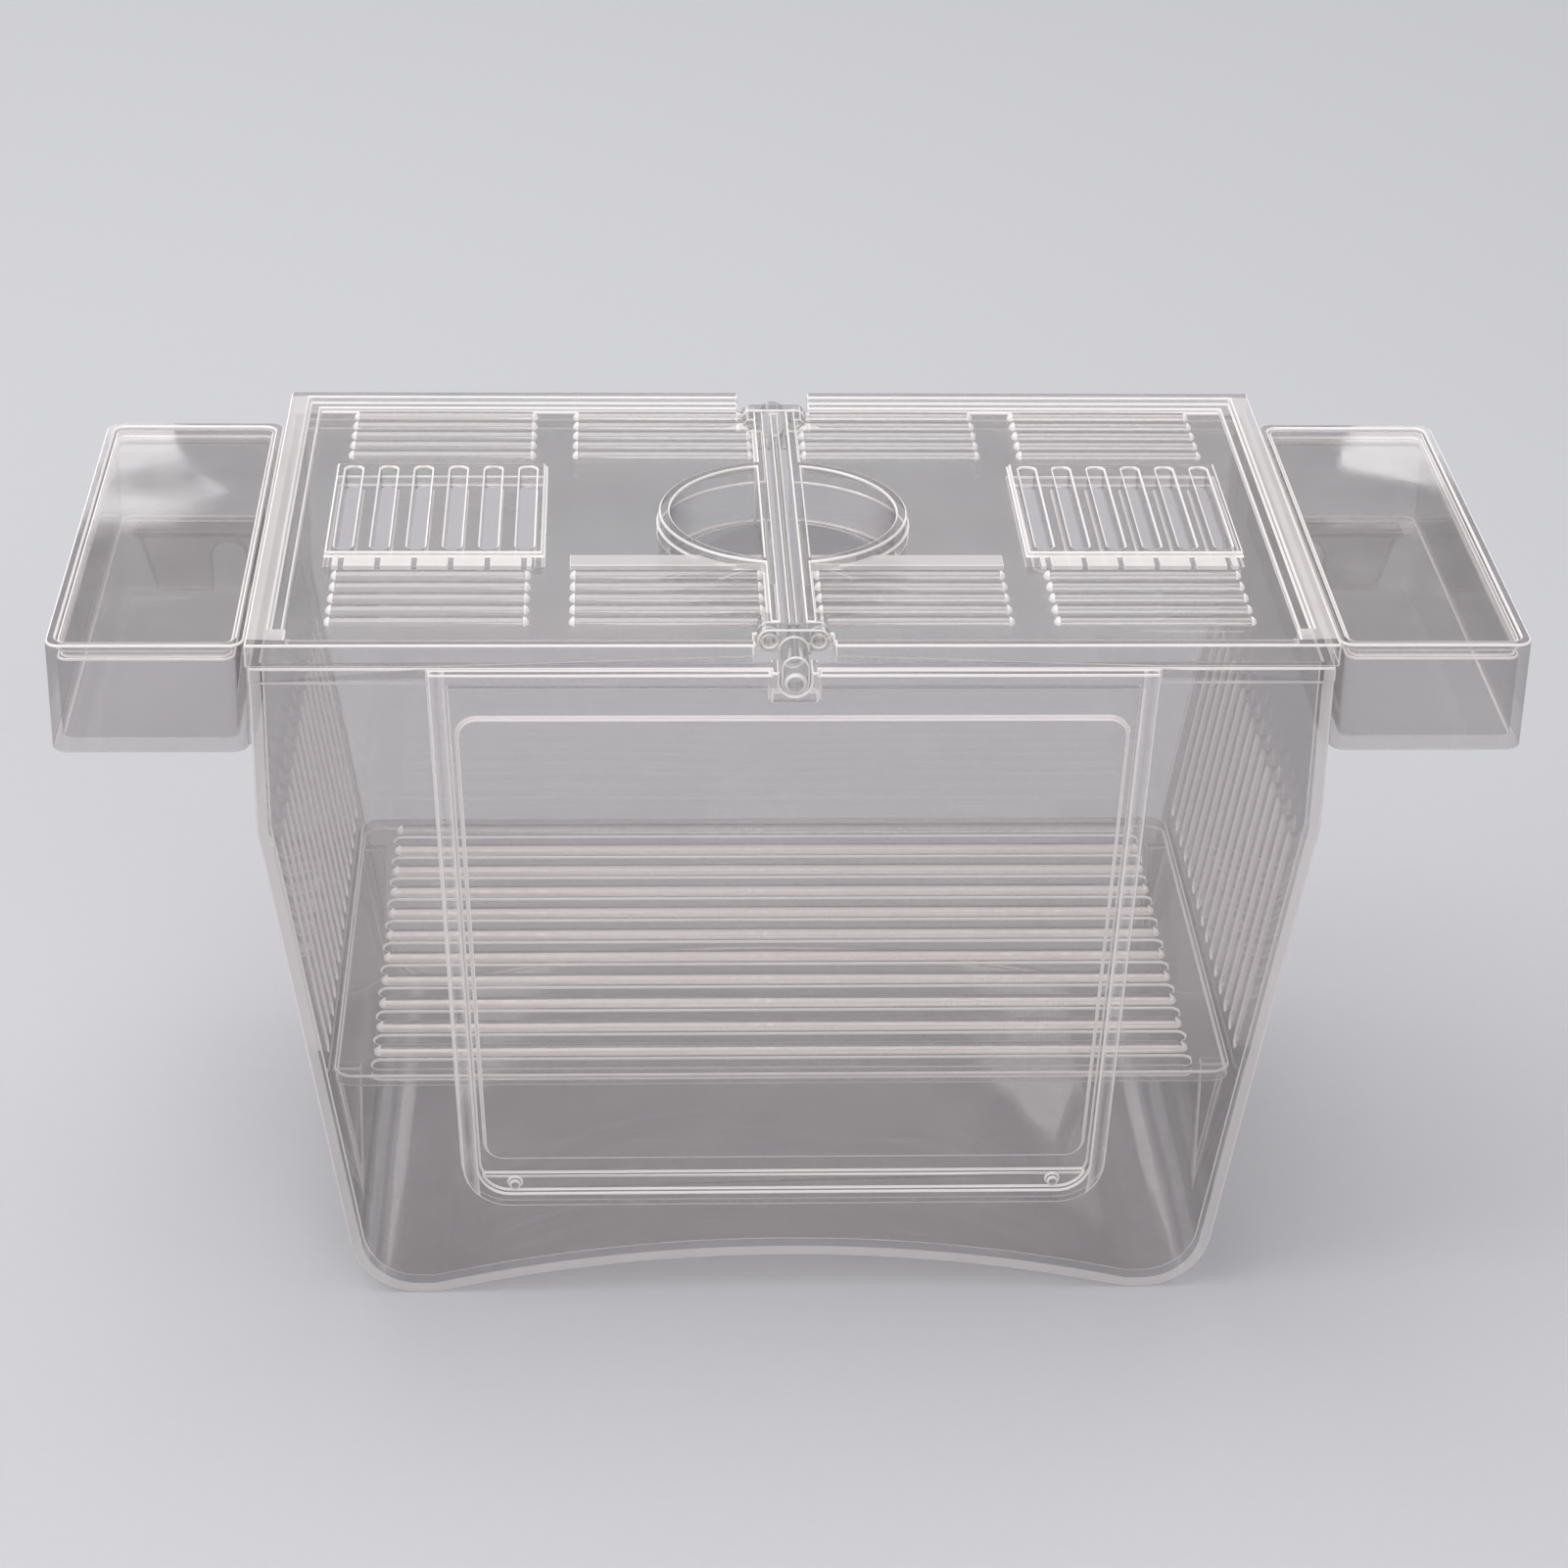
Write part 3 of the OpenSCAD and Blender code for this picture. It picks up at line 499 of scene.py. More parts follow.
def clear_edge(name, look, through, roughness, turned):
    """The same plastic where it is rounded: it bends what is behind it, and a pale diffuse share
    paints the glow of the light that the walls gather.

    through is the share that passes; the rest is that painted glow. turned is the tint where the
    face turns away from the eye."""
    material, tree = blank_material(name)
    place = add_node(tree, "ShaderNodeTexCoord").outputs["Object"]
    # Edges are uneven by far less than a millimetre, which is drawn a few millimetres long to show
    nicks = add_node(
        tree, "ShaderNodeTexNoise", {"Vector": place, "Scale": 1 / look.nicks, "Detail": 1.0}
    )
    rough = add_node(
        tree,
        "ShaderNodeMapRange",
        {
            "Value": nicks.outputs["Fac"],
            "From Min": 0.3,
            "From Max": 0.7,
            "To Min": roughness / 3,
            "To Max": roughness,
        },
    )
    facing = add_node(tree, "ShaderNodeLayerWeight", {"Blend": 0.5}).outputs["Facing"]
    away = add_node(tree, "ShaderNodeMath", {0: facing, 1: TURN_POWER}, operation="POWER")
    # Pale colour that paints the glow, going to turned where the face turns away
    tone = add_node(
        tree,
        "ShaderNodeMixRGB",
        {"Fac": away.outputs[0], "Color1": (*look.glow, 1), "Color2": (*turned, 1)},
    )
    body = add_node(
        tree,
        "ShaderNodeBsdfPrincipled",
        {
            "Base Color": tone.outputs["Color"],
            "Roughness": rough.outputs["Result"],
            "IOR": POLYSTYRENE_IOR,
            "Transmission Weight": through,
        },
    )
    shadowed(tree, body.outputs[0], look.slant)
    return material


def studio_paper(look):
    """Matt studio paper, rolled out pale: a faint mottle of fibres, and the box's soft shadow.

    Its fibres are finer than a hair, so their clumps are drawn coarse enough to show."""
    material, tree = blank_material("matt_studio_paper")
    place = add_node(tree, "ShaderNodeTexCoord").outputs["Object"]
    fibre = add_node(
        tree, "ShaderNodeTexNoise", {"Vector": place, "Scale": 1 / look.fibre, "Detail": 2.0}
    )
    clump = [FIBRE_SHADE * channel for channel in look.floor]
    tone = add_node(
        tree,
        "ShaderNodeMixRGB",
        {"Fac": fibre.outputs["Fac"], "Color1": (*look.floor, 1), "Color2": (*clump, 1)},
    )
    paper = add_node(tree, "ShaderNodeBsdfDiffuse", {"Color": tone.outputs["Color"]})
    add_node(tree, "ShaderNodeOutputMaterial", {"Surface": paper.outputs[0]})
    return material


# ---------------------------------------------------------------- solid shapes, in millimetres

# How far a cutter stands past what it cuts, and a joined piece runs into the next
SPARE = 1
# Vertices this near to a level lie on it
NEAR = 0.01
# Vertices nearer than this are welded
WELD = 0.002
# In radians: faces that turn less are one flat face, edges that turn more are rounded, and
# edges that turn less are shaded smooth
FLAT_UNDER = 0.01
ROUND_OVER = math.radians(32)
SMOOTH_UNDER = math.radians(40)
# Straight steps round a rod, round half of the feed port and round one corner of a plate
ROD_STEPS = 48
PORT_STEPS = 64
CORNER_STEPS = 8


def mesh_object(name, work):
    """Turn a bmesh in millimetres into an object in metres."""
    bmesh.ops.recalc_face_normals(work, faces=work.faces)
    bmesh.ops.scale(work, vec=(MM, MM, MM), verts=work.verts)
    mesh = bpy.data.meshes.new(name)
    work.to_mesh(mesh)
    work.free()
    thing = bpy.data.objects.new(name, mesh)
    bpy.context.scene.collection.objects.link(thing)
    return thing


def prism(outline, axis, start, end, material):
    """Solid that runs along one axis: up, from a plan, or into the depth, from a front view."""
    put = {
        "Y": lambda x, z, y: (x, y, z),
        "Z": lambda x, y, z: (x, y, z),
    }[axis]
    work = bmesh.new()
    near = [work.verts.new(put(*point, start)) for point in outline]
    far = [work.verts.new(put(*point, end)) for point in outline]
    work.faces.new(near)
    work.faces.new(far)
    for i, corner in enumerate(near):
        j = (i + 1) % len(near)
        work.faces.new((corner, near[j], far[j], far[i]))
    thing = mesh_object("prism", work)
    thing.data.materials.append(material)
    return thing


def block(x0, x1, y0, y1, z0, z1, material):
    """Straight-sided block between two corners."""
    return prism([(x0, y0), (x1, y0), (x1, y1), (x0, y1)], "Z", z0, z1, material)


def arc(cx, cy, radius, start, end, steps):
    """Points on an arc, from start to end in degrees."""
    angles = [math.radians(start + (end - start) * i / steps) for i in range(steps + 1)]
    return [(cx + radius * math.cos(a), cy + radius * math.sin(a)) for a in angles]


def rod(cx, cz, radius, y0, y1, material):
    """Round bar that lies along the depth."""
    circle = arc(cx, cz, radius, 0, 360, ROD_STEPS)
    return prism(circle[:-1], "Y", y0, y1, material)


def rounded(x0, x1, y0, y1, radius):
    """Rectangle outline with round corners."""
    return [
        *arc(x1 - radius, y1 - radius, radius, 0, 90, CORNER_STEPS),
        *arc(x0 + radius, y1 - radius, radius, 90, 180, CORNER_STEPS),
        *arc(x0 + radius, y0 + radius, radius, 180, 270, CORNER_STEPS),
        *arc(x1 - radius, y0 + radius, radius, 270, 360, CORNER_STEPS),
    ]


def remove(*things):
    """Delete objects with their meshes."""
    for thing in things:
        mesh = thing.data
        bpy.data.objects.remove(thing)
        bpy.data.meshes.remove(mesh)


def frozen(thing):
    """A plain mesh of an object with its modifiers applied."""
    graph = bpy.context.evaluated_depsgraph_get()
    return bpy.data.meshes.new_from_object(thing.evaluated_get(graph))


def combined(name, base, within=(), add=(), cut=()):
    """Trim, join and cut closed solids into one closed mesh, and delete what went in."""
    for operation, others in (("INTERSECT", within), ("UNION", add), ("DIFFERENCE", cut)):
        for other in others:
            step = base.modifiers.new(operation, "BOOLEAN")
            step.operation = operation
            step.object = other
            step.solver = "MANIFOLD"
            step.material_mode = "TRANSFER"
    whole = bpy.data.objects.new(name, frozen(base))
    bpy.context.scene.collection.objects.link(whole)
    remove(base, *within, *add, *cut)
    return whole


def mirrored(name, thing):
    """Copy of an object on the other side of the box."""
    work = bmesh.new()
    work.from_mesh(thing.data)
    bmesh.ops.scale(work, vec=(-1, 1, 1), verts=work.verts)
    bmesh.ops.reverse_faces(work, faces=work.faces)
    mesh = thing.data.copy()
    work.to_mesh(mesh)
    work.free()
    copy = bpy.data.objects.new(name, mesh)
    bpy.context.scene.collection.objects.link(copy)
    return copy


def welded(thing):
    """Weld a solid and dissolve the edges inside its flat faces."""
    work = bmesh.new()
    work.from_mesh(thing.data)
    bmesh.ops.remove_doubles(work, verts=work.verts, dist=WELD * MM)
    bmesh.ops.dissolve_limit(
        work, angle_limit=FLAT_UNDER, verts=work.verts, edges=work.edges, delimit={"MATERIAL"}
    )
    work.to_mesh(thing.data)
    work.free()


def copied(node, wall):
    """A copy of a CAD node's solid in one material."""
    thing = bpy.data.objects.new(node + "_moulding", NODES[node].data.copy())
    bpy.context.scene.collection.objects.link(thing)
    thing.data.materials.clear()
    thing.data.materials.append(wall)
    thing.data.polygons.foreach_set("material_index", [0] * len(thing.data.polygons))
    return thing


def round_edges(thing, radius, edge):
    """Round the sharp edges of a solid; the rounded faces take the edge material."""
    welded(thing)
    thing.data.materials.append(edge)
    bevel = thing.modifiers.new("Edge radius", "BEVEL")
    bevel.width = radius
    bevel.segments = 3
    bevel.limit_method = "ANGLE"
    bevel.angle_limit = ROUND_OVER
    bevel.use_clamp_overlap = False
    bevel.material = len(thing.data.materials) - 1
    mesh = frozen(thing)
    thing.modifiers.clear()
    old = thing.data
    thing.data = mesh
    bpy.data.meshes.remove(old)
    return thing


def kept_inside(thing, low, high):
    """Press back the corners that rounding pushed a hair out of the piece's box."""
    for vertex in thing.data.vertices:
        vertex.co = [min(max(v, a * MM), b * MM) for v, a, b in zip(vertex.co, low, high)]


def shade(thing):
    """Smooth the rounded faces and keep the flat ones flat."""
    work = bmesh.new()
    work.from_mesh(thing.data)
    for face in work.faces:
        face.smooth = True
    for edge in work.edges:
        edge.smooth = edge.is_manifold and edge.calc_face_angle() < SMOOTH_UNDER
    work.to_mesh(thing.data)
    work.free()
    even = thing.modifiers.new("Flat faces", "WEIGHTED_NORMAL")
    even.keep_sharp = True
    even.weight = 100
    return thing


def stands_for(thing, node):
    """The piece takes the node's place and body."""
    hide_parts(node)
    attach(thing, NODES[node]["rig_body"])


# ---------------------------------------------------------------- rows made by Geometry Nodes

# Faces round and along a dome, and round a cutter
DOME_STEPS = 16
DOME_RINGS = 12
CUTTER_STEPS = 24
# Share of a bar's half width in which its two halves part
PARTING = 0.05
# Height of the cutters that open the vents, in millimetres, well past both faces of the field
VENT_CUTTER = 20


def row_tree(tree_name, domed):
    """Node tree for a row of round-ended bars: a dome on a flat foot, or a straight cutter."""
    tree = bpy.data.node_groups.new(tree_name, "GeometryNodeTree")
    tree.is_modifier = True
    socket = tree.interface.new_socket
    socket("Geometry", in_out="OUTPUT", socket_type="NodeSocketGeometry")
    for label, kind in (
        ("Count", "NodeSocketInt"),
        ("First", "NodeSocketVector"),
        ("Step", "NodeSocketVector"),
        ("Turn", "NodeSocketVector"),
        ("Length", "NodeSocketFloat"),
        ("Width", "NodeSocketFloat"),
        ("Height", "NodeSocketFloat"),
        ("Material", "NodeSocketMaterial"),
        ("End Material", "NodeSocketMaterial"),
    ):
        socket(label, in_out="INPUT", socket_type=kind)
    given = add_node(tree, "NodeGroupInput").outputs
    place = add_node(tree, "GeometryNodeInputPosition").outputs[0]
    spot = add_node(tree, "ShaderNodeSeparateXYZ", {0: place}).outputs
    known = {"width": given["Width"], "length": given["Length"]}
    for name, operation, first, second in (
        ("half width", "MULTIPLY", "width", 0.5),
        ("half length", "MULTIPLY", "length", 0.5),
        ("reach", "SUBTRACT", "half length", "half width"),
        # The two halves part within this much of the middle
        ("parting", "MULTIPLY", "half width", PARTING),
        ("back", "MULTIPLY", "parting", -1),
    ):
        values = {0: known.get(first, first), 1: known.get(second, second)}
        known[name] = add_node(tree, "ShaderNodeMath", values, operation=operation).outputs[0]
    half_width = known["half width"]
    if domed:
        ball = add_node(
            tree,
            "GeometryNodeMeshUVSphere",
            {"Segments": DOME_STEPS, "Rings": DOME_RINGS, "Radius": 1.0},
        )
        size = add_node(tree, "ShaderNodeCombineXYZ", {0: half_width, 1: half_width, 2: given["Height"]})
        laid = add_node(
            tree, "GeometryNodeTransform", {"Geometry": ball.outputs["Mesh"], "Rotation": (0, QUARTER, 0)}
        )
        unit = add_node(
            tree, "GeometryNodeTransform", {"Geometry": laid.outputs[0], "Scale": size.outputs[0]}
        ).outputs[0]
        # The half below the plate is pressed flat, just inside it
        foot = add_node(tree, "ShaderNodeMath", {0: spot["Z"], 1: -HAIR * MM}, operation="MAXIMUM")
        lift = add_node(tree, "ShaderNodeMath", {0: foot.outputs[0], 1: spot["Z"]}, operation="SUBTRACT")
        lift = lift.outputs[0]
    else:
        unit = add_node(
            tree,
            "GeometryNodeMeshCylinder",
            {"Vertices": CUTTER_STEPS, "Radius": half_width, "Depth": given["Height"]},
        ).outputs["Mesh"]
        lift = 0
    # Each half of the bar moves out by half of the length that the round ends leave
    half = add_node(
        tree,
        "ShaderNodeMapRange",
        {
            "Value": spot["X"],
            "From Min": known["back"],
            "From Max": known["parting"],
            "To Min": -1.0,
            "To Max": 1.0,
        },
    ).outputs[0]
    shift = add_node(tree, "ShaderNodeMath", {0: half, 1: known["reach"]}, operation="MULTIPLY").outputs[0]
    offset = add_node(tree, "ShaderNodeCombineXYZ", {0: shift, 2: lift})
    bar = add_node(tree, "GeometryNodeSetPosition", {"Geometry": unit, "Offset": offset.outputs[0]})
    # The faces past the reach are the round ends
    moved = add_node(tree, "GeometryNodeInputPosition").outputs[0]
    along = add_node(tree, "ShaderNodeSeparateXYZ", {0: moved}).outputs["X"]
    out = add_node(tree, "ShaderNodeMath", {0: along}, operation="ABSOLUTE").outputs[0]
    past = add_node(tree, "ShaderNodeMath", {0: out, 1: known["reach"]}, operation="GREATER_THAN")
    marked = add_node(tree, "GeometryNodeCaptureAttribute", {"Geometry": bar.outputs[0]}, domain="FACE")
    marked.capture_items.new("BOOLEAN", "Round end")
    tree.links.new(past.outputs[0], marked.inputs["Round end"])
    turned = add_node(
        tree, "GeometryNodeTransform", {"Geometry": marked.outputs[0], "Rotation": given["Turn"]}
    )
    line = add_node(
        tree,
        "GeometryNodeMeshLine",
        {"Count": given["Count"], "Start Location": given["First"], "Offset": given["Step"]},
    )
    row = add_node(
        tree, "GeometryNodeInstanceOnPoints", {"Points": line.outputs[0], "Instance": turned.outputs[0]}
    )
    real = add_node(tree, "GeometryNodeRealizeInstances", {"Geometry": row.outputs[0]})
    done = add_node(
        tree, "GeometryNodeSetMaterial", {"Geometry": real.outputs[0], "Material": given["Material"]}
    )
    ended = add_node(
        tree,
        "GeometryNodeSetMaterial",
        {
            "Geometry": done.outputs[0],
            "Selection": marked.outputs["Round end"],
            "Material": given["End Material"],
        },
    )
    add_node(tree, "NodeGroupOutput", {0: ended.outputs[0]})
    return tree


def bar_row(tree_name, material, ends=None, **sizes):
    """One row from a row tree, as a plain mesh. Lengths and places are in millimetres."""
    thing = bpy.data.objects.new("row", bpy.data.meshes.new("row"))
    bpy.context.scene.collection.objects.link(thing)
    rows = thing.modifiers.new("Row", "NODES")
    rows.node_group = bpy.data.node_groups[tree_name]
    items = rows.node_group.interface.items_tree
    sockets = {item.name: item.identifier for item in items if item.in_out == "INPUT"}
    for name, value in sizes.items():
        if name in ("first", "step"):
            value = [v * MM for v in value]
        elif name in ("length", "width", "height"):
            value = value * MM
        rows[sockets[name.capitalize()]] = value
    rows[sockets["Material"]] = material
    rows[sockets["End Material"]] = ends or material
    mesh = frozen(thing)
    old = thing.data
    thing.modifiers.clear()
    thing.data = mesh
    bpy.data.meshes.remove(old)
    return thing


def row_first(middle, number, pitch):
    """Where a centred row starts."""
    return middle - (number - 1) / 2 * pitch


def in_mm(group):
    """The lengths of a property group in millimetres, its counts as they are."""
    values = {}
    for key, kind in group.__annotations__.items():
        value = getattr(group, key)
        values[key] = value if kind.function is IntProperty else value / MM
    return SimpleNamespace(**values)


# ---------------------------------------------------------------- stage values and operators

# Studio floor in millimetres: from the middle to its edge, its underside, and the hair's gap
# that keeps its top from lying in one plane with the feet
FLOOR_REACH = 4000
FLOOR_DEEP = 20
FLOOR_GAP = 0.1
# Soft rectangular lamps: name, place and size in metres, and power in watts
LAMPS = (
    ("back_left_softbox", (-0.64, 1.3, 0.57), (0.76, 0.38), 2),
    ("back_right_softbox", (0.76, 1.3, 0.57), (0.76, 0.38), 2),
    ("top_softbox", (-0.25, 0.15, 1.4), (1.5, 1.2), 14),
    ("left_softbox", (-1.2, -0.3, 0.9), (0.8, 0.8), 5),
    ("front_softbox", (0.4, -1.5, 1.0), (1.0, 0.7), 9),
)
# Spot inside the box that the lamps face, in metres
LAMP_TARGET = (0, 0, 0.08)
# Nearest distance that the camera shows, in metres
NEAREST = 0.01
# Clear faces that a ray may pass: the box has a few dozen, one behind the other
CLEAR_LAYERS = 64


class BREEDER_OT_materials(bpy.types.Operator):
    """Make the clear plastic finishes"""

    bl_idname = "breeder.materials"
    bl_label = "Finishes"

    def execute(self, context):
        look = context.scene.breeder_plastic
        # General-purpose polystyrene from a polished mould: clear walls that go grey at a slant,
        # a sharp gloss, and a painted glow at the ends where the eye looks along a wall
        clear_wall("clear_polystyrene_tank", look, look.tank_haze, look.body, context.scene.breeder_tank)
        # The lid's thin plates cool under stress and are handled most: hazier, in faint green patches
        clear_wall("clear_polystyrene_lid", look, look.lid_haze, look.stress)
        # The shelf lies in the water and is rinsed often: the haziest plate, so its bars read well
        clear_wall("clear_polystyrene_shelf", look, look.shelf_haze, look.body)
        # The floats are moulded boxes, closed with solvent that leaves them a little dull
        clear_wall("clear_polystyrene_float", look, look.float_haze, look.body)
        # The lid's rims get a painted glow, a pale diffuse share: pale and soft, and still see-through
        clear_wall("polystyrene_rim_painted_glow", look, look.rim_glow, look.body)
        # The bars before the vents get the strongest painted glow: the palest marks on the lid
        clear_wall("polystyrene_bar_painted_glow", look, look.bar_glow, look.body)
        # Rounded edges get a painted glow of the light gathered in the walls: thin pale lines round every
        # piece
        clear_edge("polystyrene_moulded_edge", look, look.edge_clear, look.edge_rough, look.glow)
        # Domed ribs are polished like lenses: they bend what is behind into dark and light stripes
        clear_edge("polystyrene_moulded_rib", look, look.rib_clear, look.rib_rough, look.turned)
        return {"FINISHED"}


class BREEDER_OT_rows(bpy.types.Operator):
    """Make the node trees for rows of domed bars and rows of slots"""

    bl_idname = "breeder.rows"
    bl_label = "Row trees"

    def execute(self, context):
        row_tree("domed_bars", True)
        row_tree("slot_cutters", False)
        return {"FINISHED"}


class BREEDER_OT_tank(bpy.types.Operator):
    """Dress the tank with its front frame"""

    bl_idname = "breeder.tank"
    bl_label = "Tank"

    def execute(self, context):
        look = context.scene.breeder_plastic
        tank = copied("tank_body", bpy.data.materials["clear_polystyrene_tank"])
        shade(round_edges(tank, look.edge, bpy.data.materials["polystyrene_moulded_edge"]))
        stands_for(tank, "tank_body")
        return {"FINISHED"}


class BREEDER_OT_shelf(bpy.types.Operator):
    """Build the slotted fry shelf"""

    bl_idname = "breeder.shelf"
    bl_label = "Fry shelf"

    def execute(self, context):
        size = in_mm(context.scene.breeder_shelf)
        look = context.scene.breeder_plastic
        wall = bpy.data.materials["clear_polystyrene_shelf"]
        edge = bpy.data.materials["polystyrene_moulded_edge"]
        rib = bpy.data.materials["polystyrene_moulded_rib"]
        low = SHELF_LOW.z
        top = low + size.thick
        half_low = self.low_half()
        half_top = SHELF_HIGH.x
        depth = (SHELF_LOW.y, SHELF_HIGH.y)
        wedge = [(-half_top, top), (half_top, top), (half_low, low), (-half_low, low)]
        plate = prism(wedge, "Y", *depth, wall)
        outline = rounded(-half_top, half_top, *depth, size.corner)
        corners = prism(outline, "Z", low - SPARE, top + SPARE, wall)
        first_bar = row_first(MIDDLE_Y + size.shift, size.bars, size.pitch)
        long = 2 * (half_low - size.margin)
        slots = bar_row(
            "slot_cutters", wall, count=size.bars,
            first=(0, first_bar - size.pitch / 2, (top + low) / 2), step=(0, size.pitch, 0),
            length=long, width=size.slot, height=size.thick + 2 * SPARE,
        )
        solid = combined("plate", plate, within=[corners], cut=[slots])
        round_edges(solid, look.edge, edge)
        # The bars' round ends take the edge material and its painted glow
        bars = bar_row(
            "domed_bars", rib, edge, count=size.bars,
            first=(0, first_bar, top), step=(0, size.pitch, 0),
            length=long, width=size.bar, height=SHELF_HIGH.z - top,
        )
        shelf = combined("fry_shelf_moulding", solid, add=[bars])
        shade(shelf)
        stands_for(shelf, "fry_shelf")
        return {"FINISHED"}

    @staticmethod
    def low_half():
        """Half width of the plate's lower face, which leans in with the tank walls."""
        corners = [vertex.co for vertex in NODES["fry_shelf"].data.vertices]
        return max(corner.x for corner in corners if corner.z < (SHELF_LOW.z + NEAR) * MM) / MM


class BREEDER_OT_hinge_bar(bpy.types.Operator):
    """Dress the fixed bar between the leaves"""

    bl_idname = "breeder.hinge_bar"
    bl_label = "Hinge bar"

    def execute(self, context):
        look = context.scene.breeder_plastic
        bar = copied("hinge_bar", bpy.data.materials["clear_polystyrene_lid"])
        shade(round_edges(bar, look.small_edge, bpy.data.materials["polystyrene_moulded_edge"]))
        stands_for(bar, "hinge_bar")
        return {"FINISHED"}


class BREEDER_OT_lids(bpy.types.Operator):
    """Build both lid leaves with their ribs, vents and feed port halves"""

    bl_idname = "breeder.lids"
    bl_label = "Lid leaves"

    def execute(self, context):
        size = in_mm(context.scene.breeder_lid)
        hinge = in_mm(context.scene.breeder_hinge)
        look = context.scene.breeder_plastic
        wall = bpy.data.materials["clear_polystyrene_lid"]
        edge = bpy.data.materials["polystyrene_moulded_edge"]
        plate = self.plate(size, hinge, wall, bpy.data.materials["polystyrene_rim_painted_glow"])
        round_edges(plate, look.edge, edge)
        small = [*self.row(size), *self.pins(hinge, wall)]
        small = [round_edges(piece, look.fine_edge, edge) for piece in small]
        leaf = combined("right_lid_moulding", plate, add=[*self.ribs(size, edge), *small])
        kept_inside(leaf, LID_LOW, LID_HIGH)
        other = mirrored("left_lid_moulding", leaf)
        for piece, node in ((leaf, "right_lid"), (other, "left_lid")):
            shade(piece)
            stands_for(piece, node)
        return {"FINISHED"}

    def plate(self, size, hinge, wall, glow_rim):
        """The leaf without its ribs and pins: plate, rims, vent field and half port."""
        top = LID_HIGH.z
        under = top - self.rim_height()
        face = under + size.plate
        step = face + size.step_up
        out_x = LID_HIGH.x
        in_x = hinge.pivot_x + hinge.pivot_down + hinge.gap
        y0 = LID_LOW.y
        y1 = LID_HIGH.y
        head_in = hinge.head_out - hinge.head - hinge.gap
        rim_x = out_x - size.side_rim
        rim_y = size.end_rim
        step_y = size.end_rim + size.step
        channel_x = size.channel + size.channel_rim
        field = size.vents * size.vent_pitch / 2
        field_long = size.vent_long / 2 + size.vent_margin
        vent_y = MIDDLE_Y + size.vent_y
        add = [
            # Low step inside the outer, front and back rims
            block(rim_x - size.step, out_x - SPARE, y0, y1, under, step, wall),
            block(in_x, out_x, y0 + SPARE, y0 + step_y, under, step, wall),
            block(in_x, out_x, y1 - step_y, y1 - SPARE, under, step, wall),
            # Rims along the channel, the front and the back, then the outer one with the painted glow and
            # its corner
            block(size.channel, channel_x, MIDDLE_Y - head_in, MIDDLE_Y + head_in, under, top, wall),
            block(in_x, out_x, y0, y0 + rim_y, under, top, wall),
            block(in_x, out_x, y1 - rim_y, y1, under, top, wall),
            block(rim_x, out_x, y0, y1, under, top, glow_rim),
            block(out_x - size.corner, out_x, y0, y0 + size.corner, under, top, glow_rim),
            # Vent field, deeper and higher than the plate
            block(
                size.vent_x - field, size.vent_x + field, vent_y - field_long, vent_y + field_long,
                under - size.vent_down, face + size.vent_up, wall,
            ),
            self.half_disc(size.channel, size.port, top - size.port_deep, top, wall),
        ]
        # The lower side of the front edge rises towards the hinge
        rise = [
            (in_x - SPARE, under - SPARE),
            (size.relief, under - SPARE),
            (size.relief, under),
            (in_x - SPARE, under + size.plate),
        ]
        bore = size.port - size.port_wall
        cut = [
            prism(rise, "Y", y0 - SPARE, y0 + rim_y / 2, wall),
            self.half_disc(
                size.channel + size.port_wall, bore, top - size.port_deep - SPARE, top + SPARE, wall
            ),
            bar_row(
                "slot_cutters", wall, count=size.vents,
                first=(row_first(size.vent_x, size.vents, size.vent_pitch), vent_y, under),
                step=(size.vent_pitch, 0, 0), turn=(0, 0, QUARTER),
                length=size.vent_long, width=size.vent, height=VENT_CUTTER,
            ),
            # Room for the cross heads of the hinge bar
            block(0, in_x, y0 - SPARE, MIDDLE_Y - head_in, under - SPARE, top + SPARE, wall),
            block(0, in_x, MIDDLE_Y + head_in, y1 + SPARE, under - SPARE, top + SPARE, wall),
        ]
        return combined("leaf", block(size.channel, out_x, y0, y1, under, face, wall), add=add, cut=cut)

    @staticmethod
    def rim_height():
        """Full height of the rims: the leaf's outer end holds nothing deeper."""
        corners = [vertex.co for vertex in NODES["right_lid"].data.vertices]
        heights = [corner.z for corner in corners if corner.x > (LID_HIGH.x - NEAR) * MM]
        return (max(heights) - min(heights)) / MM

    @staticmethod
    def half_disc(flat_x, radius, z0, z1, material):
        """Round solid about the middle of the lid, cut flat along the channel."""
        swing = math.degrees(math.acos(flat_x / radius))
        outline = arc(0, MIDDLE_Y, radius, -swing, swing, PORT_STEPS)
        return prism(outline, "Z", z0, z1, material)

    @staticmethod
    def pins(hinge, wall):
        """A boss and a pivot pin at both ends of the leaf's inner edge."""
        axis = (hinge.pivot_x, LID_HIGH.z - hinge.pivot_down)
        boss_end = hinge.head_out - hinge.head - hinge.gap
        rods = []
        for side in (-1, 1):
            inner = MIDDLE_Y + side * (boss_end - hinge.boss_long)
            middle = MIDDLE_Y + side * boss_end
            outer = MIDDLE_Y + side * (hinge.head_out - hinge.pin_short)
            rods.append(rod(*axis, hinge.boss / 2, *sorted((inner, middle)), wall))
            rods.append(rod(*axis, hinge.pin / 2, *sorted((inner + side * SPARE, outer)), wall))
        return rods

